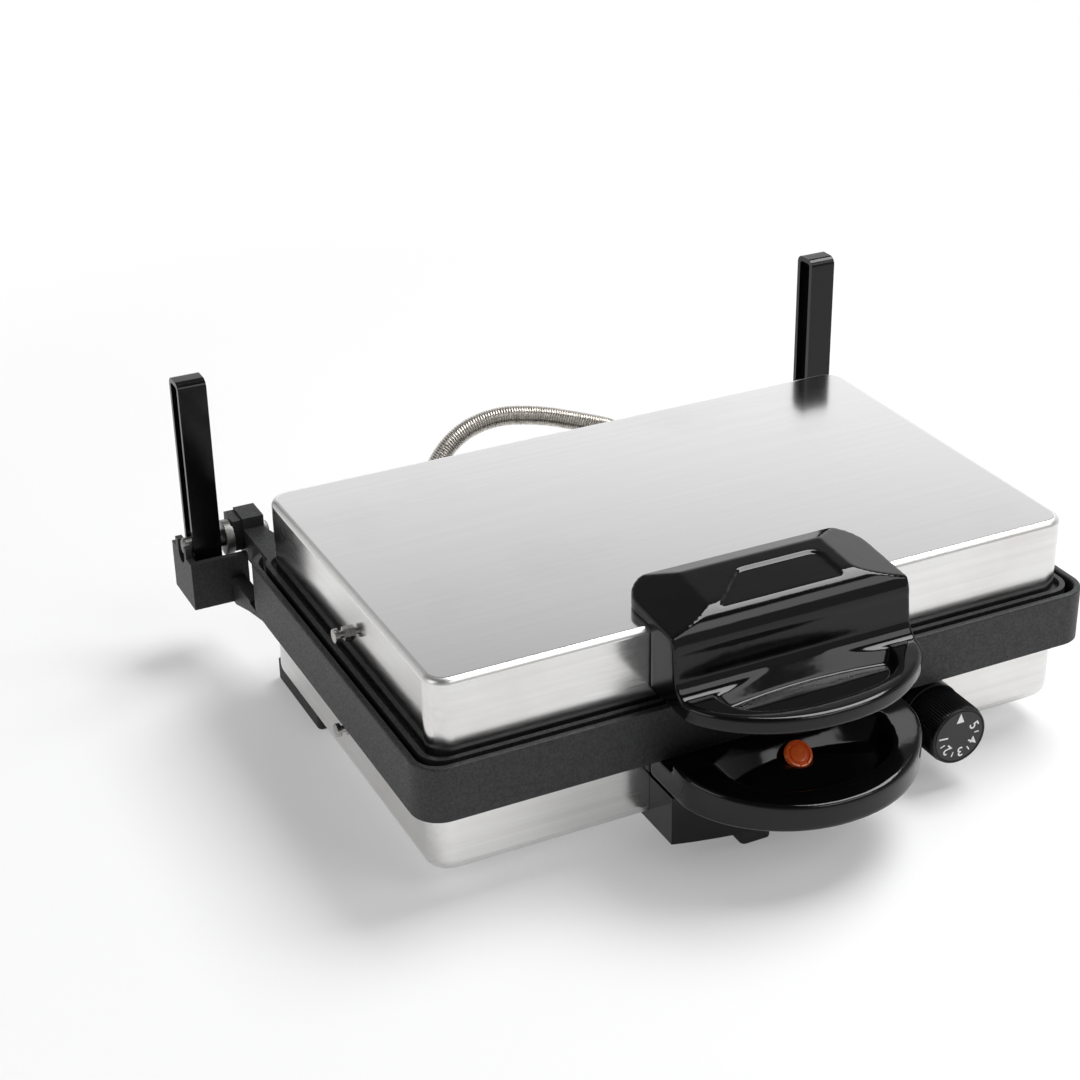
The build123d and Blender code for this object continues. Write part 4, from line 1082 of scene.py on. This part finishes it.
@dataclass
class Knob:
    """Fluted thermostat knob with a printed dial."""

    finishes: Finishes
    body_radius: float = 0.018
    face_radius: float = 0.0163
    crown: float = 0.0032
    collar: float = 0.005
    collar_step: Span = (0.0004, 0.0003)
    edge: float = 0.0005
    recess: Span = (0.0003, -0.0004)
    flutes: int = 72
    flute_sides: int = 4
    flute_depth: float = 0.0005
    flute_margin: float = 0.0002
    flute_end: float = 0.6
    smooth_angle: float = 30.0
    dial_radius: float = 0.0150
    dial_sides: int = 96
    dial_edge: float = 0.0001
    print_height: float = 0.00012
    numeral_ring: float = 0.0103
    numeral_size: float = 0.0082
    numeral_weight: float = 0.00008
    numeral_steps: int = 6
    tick_ring: float = 0.0112
    tick: Span = (0.0007, 0.0030)
    tick_rounding: float = 0.35
    pointer_radius: float = 0.0031
    pointer_stretch: Span = (0.9, 1.25)
    numerals: tuple[tuple[str, float], ...] = (
        ("5", 64.0), ("4", 118.0), ("3", 173.0), ("2", 227.0), ("1", 275.0),
    )
    axis: Vector = field(init=False)
    front: float = field(init=False)
    dial_front: float = field(init=False)

    def build(self) -> None:
        """Model the knob's body, its dial and the marks printed on it."""
        low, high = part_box("thermostat_knob")
        self.axis = Vector(((low.x + high.x) / 2, 0.0, (low.z + high.z) / 2))
        self.front = low.y
        self.shape_body(high.y)
        self.shape_dial()
        self.print_marks()

    def at(self, depth: float) -> Vector:
        """The point of the knob's axis at a depth."""
        return Vector((self.axis.x, depth, self.axis.z))

    def shape_body(self, back: float) -> None:
        """Model the body as a disc pushed forward, fluted along its side.

        Args:
            back: the Y of its back.
        """
        steps = self.flutes * self.flute_sides
        knob = add_disc("thermostat_knob_body", self.at(back), FORWARD, self.body_radius, steps)
        push(FORWARD * self.collar)
        inset(*self.collar_step)
        push(FORWARD * (back - self.front - self.collar - self.crown - self.collar_step[1]))
        shoulder = self.body_radius - self.face_radius - self.collar_step[0] - self.edge
        inset(shoulder, self.crown - self.edge)
        inset(self.edge, self.edge)
        inset(self.edge)
        inset(*self.recess)
        bpy.ops.object.mode_set(mode="OBJECT")
        flute_back = back - self.collar - self.flute_margin
        flute_front = self.front + self.crown * self.flute_end
        for vertex in knob.data.vertices:
            if flute_front < vertex.co.y < flute_back:
                middle = self.at(vertex.co.y)
                spoke = vertex.co - middle
                turn = math.atan2(spoke.z, spoke.x) * self.flutes
                reach = spoke.length - self.flute_depth * (0.5 - 0.5 * math.cos(turn))
                vertex.co = spoke.normalized() * reach + middle
        outward(knob)
        smooth(knob, self.smooth_angle)
        self.finishes.settle(knob, Body.KNOB, Slot.KNOB_PLASTIC, "thermostat_knob")

    def shape_dial(self) -> None:
        """Model the dial disc in the knob's face."""
        low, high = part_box("thermostat_dial")
        centre = self.at(high.y)
        dial = add_disc("thermostat_dial_disc", centre, FORWARD, self.dial_radius, self.dial_sides)
        push(FORWARD * (high.y - low.y - self.dial_edge))
        inset(self.dial_edge, self.dial_edge)
        bpy.ops.object.mode_set(mode="OBJECT")
        outward(dial)
        smooth(dial)
        self.finishes.settle(dial, Body.KNOB, Slot.DIAL_PLASTIC, "thermostat_dial")
        self.dial_front = low.y

    def stand(self, mark: bpy.types.Object, angle: float, ring: float) -> bpy.types.Object:
        """Turn a flat mark upright on the dial, its top outwards.

        Args:
            mark: the mark, drawn in the XY plane round its own middle.
            angle: clockwise degrees from the top, as the cook sees the dial.
            ring: how far out it stands.

        Returns:
            The mark.
        """
        upright = Matrix.Rotation(math.radians(90), 4, "X")
        turned = Matrix.Rotation(math.radians(angle), 4, "Y")
        outwards = Matrix.Translation(UP * ring)
        place = Matrix.Translation(self.at(self.dial_front))
        mark.data.transform(place @ turned @ outwards @ upright)
        return mark

    def numeral(self, text: str) -> bpy.types.Object:
        """Model one numeral as a thin plate round its own middle.

        Args:
            text: the numeral.

        Returns:
            The plate.
        """
        deselect_all()
        bpy.ops.object.text_add()
        letters = bpy.context.object.data
        letters.body = text
        letters.size = self.numeral_size
        letters.align_x = "CENTER"
        letters.align_y = "CENTER"
        letters.extrude = self.print_height / 2
        letters.offset = self.numeral_weight
        letters.resolution_u = self.numeral_steps
        bpy.ops.object.convert(target="MESH")
        mark = bpy.context.object
        middle = sum((Vector(corner) for corner in mark.bound_box), Vector()) / 8
        mark.data.transform(Matrix.Translation(-middle))
        return mark

    def bar(self, width: float, height: float) -> bpy.types.Object:
        """Model one tick as a thin plate round its own middle.

        Args:
            width: its width.
            height: its height.

        Returns:
            The plate.
        """
        half = Vector((width / 2, height / 2, self.print_height / 2))
        tick = add_box("tick", -half, half)
        select_parts(tick, edges=lambda a, b: near(a.x, b.x) and near(a.y, b.y))
        round_edges(width * self.tick_rounding, 2)
        bpy.ops.object.mode_set(mode="OBJECT")
        return tick

    def triangle(self) -> bpy.types.Object:
        """Model the pointer's triangle as a thin plate, its point outwards.

        Returns:
            The plate.
        """
        deselect_all()
        bpy.ops.mesh.primitive_cylinder_add(
            vertices=3, radius=self.pointer_radius, depth=self.print_height
        )
        mark = bpy.context.object
        mark.data.transform(Matrix.Diagonal((*self.pointer_stretch, 1.0, 1.0)))
        return mark

    def print_marks(self) -> None:
        """Model the pointer, numerals and ticks and join them into one piece."""
        marks = [self.stand(self.triangle(), 0.0, self.numeral_ring)]
        for text, angle in self.numerals:
            marks.append(self.stand(self.numeral(text), angle, self.numeral_ring))
        for (_, first), (_, second) in zip(self.numerals, self.numerals[1:]):
            marks.append(self.stand(self.bar(*self.tick), (first + second) / 2, self.tick_ring))
        deselect_all()
        for mark in marks:
            mark.select_set(True)
        bpy.context.view_layer.objects.active = marks[0]
        bpy.ops.object.join()
        print_piece = bpy.context.object
        print_piece.name = "dial_marks"
        outward(print_piece)
        self.finishes.settle(print_piece, Body.KNOB, Slot.DIAL_PLASTIC, looks=(Look.PRINT,))


HANDLES = (Moulding("upper_handle", Body.LID), Moulding("lower_handle", Body.BASE))

PLASTIC, COATED, POST = Slot.HANDLE_PLASTIC, Slot.PLATE_COAT, Slot.POST_BLACK
BRIGHT, RUBBER, SATIN = Slot.BRIGHT_STEEL, Slot.FOOT_RUBBER, Slot.KNOB_PLASTIC
DULL = (Look.DULL,)

WORN_PIECES = (
    WornPiece("lower_handle_bracket", "lower_bracket_moulding", Body.BASE, PLASTIC, 0.0009, 3),
    WornPiece("lower_grill_plate", "lower_casting", Body.BASE, COATED, 0.0005),
    WornPiece("upper_grill_plate", "upper_casting", Body.LID, COATED, 0.0005),
    WornPiece("guide_post_left", "left_post", Body.BASE, POST, 0.0007, 3),
    WornPiece("guide_post_right", "right_post", Body.BASE, POST, 0.0007, 3),
    WornPiece("guide_post_bolts", "post_bolts", Body.BASE, BRIGHT, 0.0003, looks=DULL),
    WornPiece("hinge_pin_left", "left_pin", Body.CARRIAGE, BRIGHT, 0.0003, looks=DULL),
    WornPiece("hinge_pin_right", "right_pin", Body.CARRIAGE, BRIGHT, 0.0003, looks=DULL),
    WornPiece("pin_clips", "pin_spring_clips", Body.CARRIAGE, BRIGHT, 0.0002, looks=DULL),
    WornPiece("upper_tie_screws", "lid_end_screws", Body.LID, BRIGHT, 0.0003),
    WornPiece("lower_tie_screws", "base_end_screws", Body.BASE, BRIGHT, 0.0003),
    WornPiece("conduit_gland_lower", "base_gland", Body.BASE, BRIGHT, 0.0003),
    WornPiece("conduit_gland_upper", "lid_gland", Body.LID, BRIGHT, 0.0003),
    WornPiece("cord_gland", "cord_inlet_gland", Body.BASE, RUBBER, 0.0005, 3),
    WornPiece("thermostat_bezel", "knob_bezel", Body.BASE, SATIN, 0.0003),
    WornPiece("front_feet", "front_rubber_feet", Body.BASE, RUBBER, 0.0006, 3),
    WornPiece("rear_feet", "rear_rubber_feet", Body.BASE, RUBBER, 0.0006, 3),
    WornPiece("earth_screw", "earth_bolt", Body.BASE, BRIGHT, 0.0003),
)

INNER_NODES = {
    Slot.ELEMENT_STEEL: ("lower_heating_element", "upper_heating_element"),
    Slot.BRIGHT_STEEL: (
        "lower_element_clamps", "upper_element_clamps", "lower_handle_screws",
        "upper_handle_screws", "thermostat_shaft",
    ),
    Slot.CERAMIC: (
        "lower_element_terminals", "upper_element_terminals", "terminal_block",
        "lid_terminal_block",
    ),
    Slot.REFLECTOR_SHEET: ("lower_reflector", "upper_reflector"),
    Slot.LAMP_GLASS: ("indicator_lamp",),
    Slot.THERMOSTAT_CASE: ("thermostat_body",),
}


@dataclass(frozen=True)
class Lamp:
    """A rectangular soft lamp: its place, its width and height, and its watts."""

    name: str
    place: tuple[float, float, float]
    size: Span
    power: float


@dataclass
class Studio:
    """Pale floor, soft light and the camera at the photograph's angle."""

    camera_place: Vector = Vector((-0.5236, -0.9395, 0.6650))
    azimuth: float = -25.47
    elevation: float = 27.34
    roll: float = -1.1
    lens: float = 72.126
    sensor: float = 36.0
    sight_end: float = 50.0
    floor_size: float = 14.0
    floor_tones: tuple[Colour, Colour] = ((0.93, 0.93, 0.935), (0.96, 0.96, 0.962))
    floor_patches: float = 3.0
    floor_roughness: float = 0.55
    floor_level: float = 0.25
    floor_white: float = 0.25
    floor_fade: Span = (0.22, 0.9)
    ambient: float = 0.96
    sky_by_height: tuple[Span, ...] = (
        (0.0, 1.1), (0.38, 1.1), (0.46, 0.74), (0.55, 0.36), (0.75, 0.20), (1.0, 0.16),
    )
    sky_by_depth: tuple[Span, ...] = ((-0.4, 0.35), (0.3, 1.0))
    sky_by_side: tuple[Span, ...] = ((-0.85, 0.45), (-0.25, 1.0))
    lamp_target: Vector = Vector((0.0, 0.0, 0.1))
    lamps: tuple[Lamp, ...] = (
        Lamp("overhead_softbox", (0.95, 0.12, 1.9), (1.3, 1.0), 40.0),
        Lamp("front_softbox", (0.9, -1.6, 1.6), (1.4, 0.9), 12.0),
        Lamp("left_softbox", (-2.1, -0.3, 1.2), (1.2, 1.4), 9.0),
    )

    def build(self) -> None:
        """Set up the camera, the floor, the world and the lamps."""
        self.add_camera()
        self.add_floor()
        self.add_world()
        for lamp in self.lamps:
            self.add_lamp(lamp)
        bpy.context.scene.view_settings.view_transform = "Standard"

    def add_camera(self) -> None:
        """Create the camera and aim it as the photograph was taken."""
        az, el, roll = (math.radians(a) for a in (self.azimuth, self.elevation, self.roll))
        back = Vector((math.sin(az) * math.cos(el), -math.cos(az) * math.cos(el), math.sin(el)))
        right = (-back).cross(UP).normalized()
        upright = right.cross(-back)
        turned_right = right * math.cos(roll) + upright * math.sin(roll)
        turned_up = upright * math.cos(roll) - right * math.sin(roll)
        data = bpy.data.cameras.new("camera")
        camera = bpy.data.objects.new("camera", data)
        bpy.context.scene.collection.objects.link(camera)
        data.lens = self.lens
        data.sensor_width = self.sensor
        data.clip_end = self.sight_end
        aim = Matrix((turned_right, turned_up, back)).transposed().to_4x4()
        camera.matrix_world = Matrix.Translation(self.camera_place) @ aim
        bpy.context.scene.camera = camera

    def add_floor(self) -> None:
        """Lay the floor, lifted towards white where it is seen or mirrored."""
        deselect_all()
        bpy.ops.mesh.primitive_plane_add(size=self.floor_size)
        floor = bpy.context.object
        floor.name = "floor"
        shader = Shader("studio_floor")
        patches = shader.noise(self.floor_patches, 2.0, 0.55)
        shader.set(
            Base_Color=shader.blend(patches, *self.floor_tones),
            Roughness=self.floor_roughness,
            Specular_IOR_Level=self.floor_level,
        )
        rays = shader.add("LightPath", {}).outputs
        seen = shader.math("MAXIMUM", rays["Is Camera Ray"], rays["Is Glossy Ray"])
        reach = shader.add("VectorMath", {0: shader.place}, operation="LENGTH").outputs["Value"]
        lift = shader.remap(reach, self.floor_white, 1.0, *self.floor_fade)
        share = shader.math("MULTIPLY", seen, lift)
        shader.whiten(share, shader.surface.outputs["BSDF"], "Emission", "Material Output")
        floor.data.materials.append(shader.material)

    def add_world(self) -> None:
        """Light the scene from low behind, darker overhead, in front and to the left."""
        world = bpy.data.worlds.new("studio")
        bpy.context.scene.world = world
        world.use_nodes = True
        graph = Graph(world.node_tree)
        direction = graph.add("TexCoord", {}).outputs["Generated"]
        shares = graph.add("SeparateXYZ", {"Vector": direction}).outputs
        level = graph.ramp(shares["Z"], self.sky_by_height)
        depth = graph.ramp(shares["Y"], self.sky_by_depth)
        side = graph.ramp(shares["X"], self.sky_by_side)
        background = graph.tree.nodes["Background"]
        sky = graph.math("MULTIPLY", graph.math("MULTIPLY", level, depth), side)
        graph.feed(background.inputs["Color"], sky)
        graph.feed(background.inputs["Strength"], self.ambient)
        seen = graph.add("LightPath", {}).outputs["Is Camera Ray"]
        graph.whiten(seen, background.outputs["Background"], "Background", "World Output")

    def add_lamp(self, lamp: Lamp) -> None:
        """Hang a soft lamp that faces the grill.

        Args:
            lamp: the lamp to hang.
        """
        data = bpy.data.lights.new(lamp.name, "AREA")
        data.shape = "RECTANGLE"
        data.size, data.size_y = lamp.size
        data.energy = lamp.power
        holder = bpy.data.objects.new(lamp.name, data)
        bpy.context.scene.collection.objects.link(holder)
        place = Vector(lamp.place)
        holder.location = place
        holder.rotation_euler = (self.lamp_target - place).to_track_quat("-Z", "Y").to_euler()


def dress_inner_nodes(finishes: Finishes) -> None:
    """Give the nodes that stay as they are their finishes.

    Args:
        finishes: the grill's materials.
    """
    for slot, nodes in INNER_NODES.items():
        for node in nodes:
            finishes.paint(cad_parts[node].data, slot)
            LOG.info("%s: %s", node, slot.value)


def main() -> None:
    """Build the studio, then each part of the grill."""
    logging.basicConfig(level=logging.INFO, format="%(message)s")
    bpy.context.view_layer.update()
    deselect_all()
    Studio().build()
    finishes = Finishes()
    Conduit(finishes).build()
    Cover(finishes, "upper_cover", Body.LID, opens_down=True, corner=0.012, roll=0.0036).build()
    Cover(finishes, "lower_cover", Body.BASE, opens_down=False, corner=0.014, roll=0.009).build()
    Indicator(finishes).build()
    Knob(finishes).build()
    for piece in (*HANDLES, *WORN_PIECES):
        piece.build(finishes)
    dress_inner_nodes(finishes)


if __name__ == "__main__":
    main()
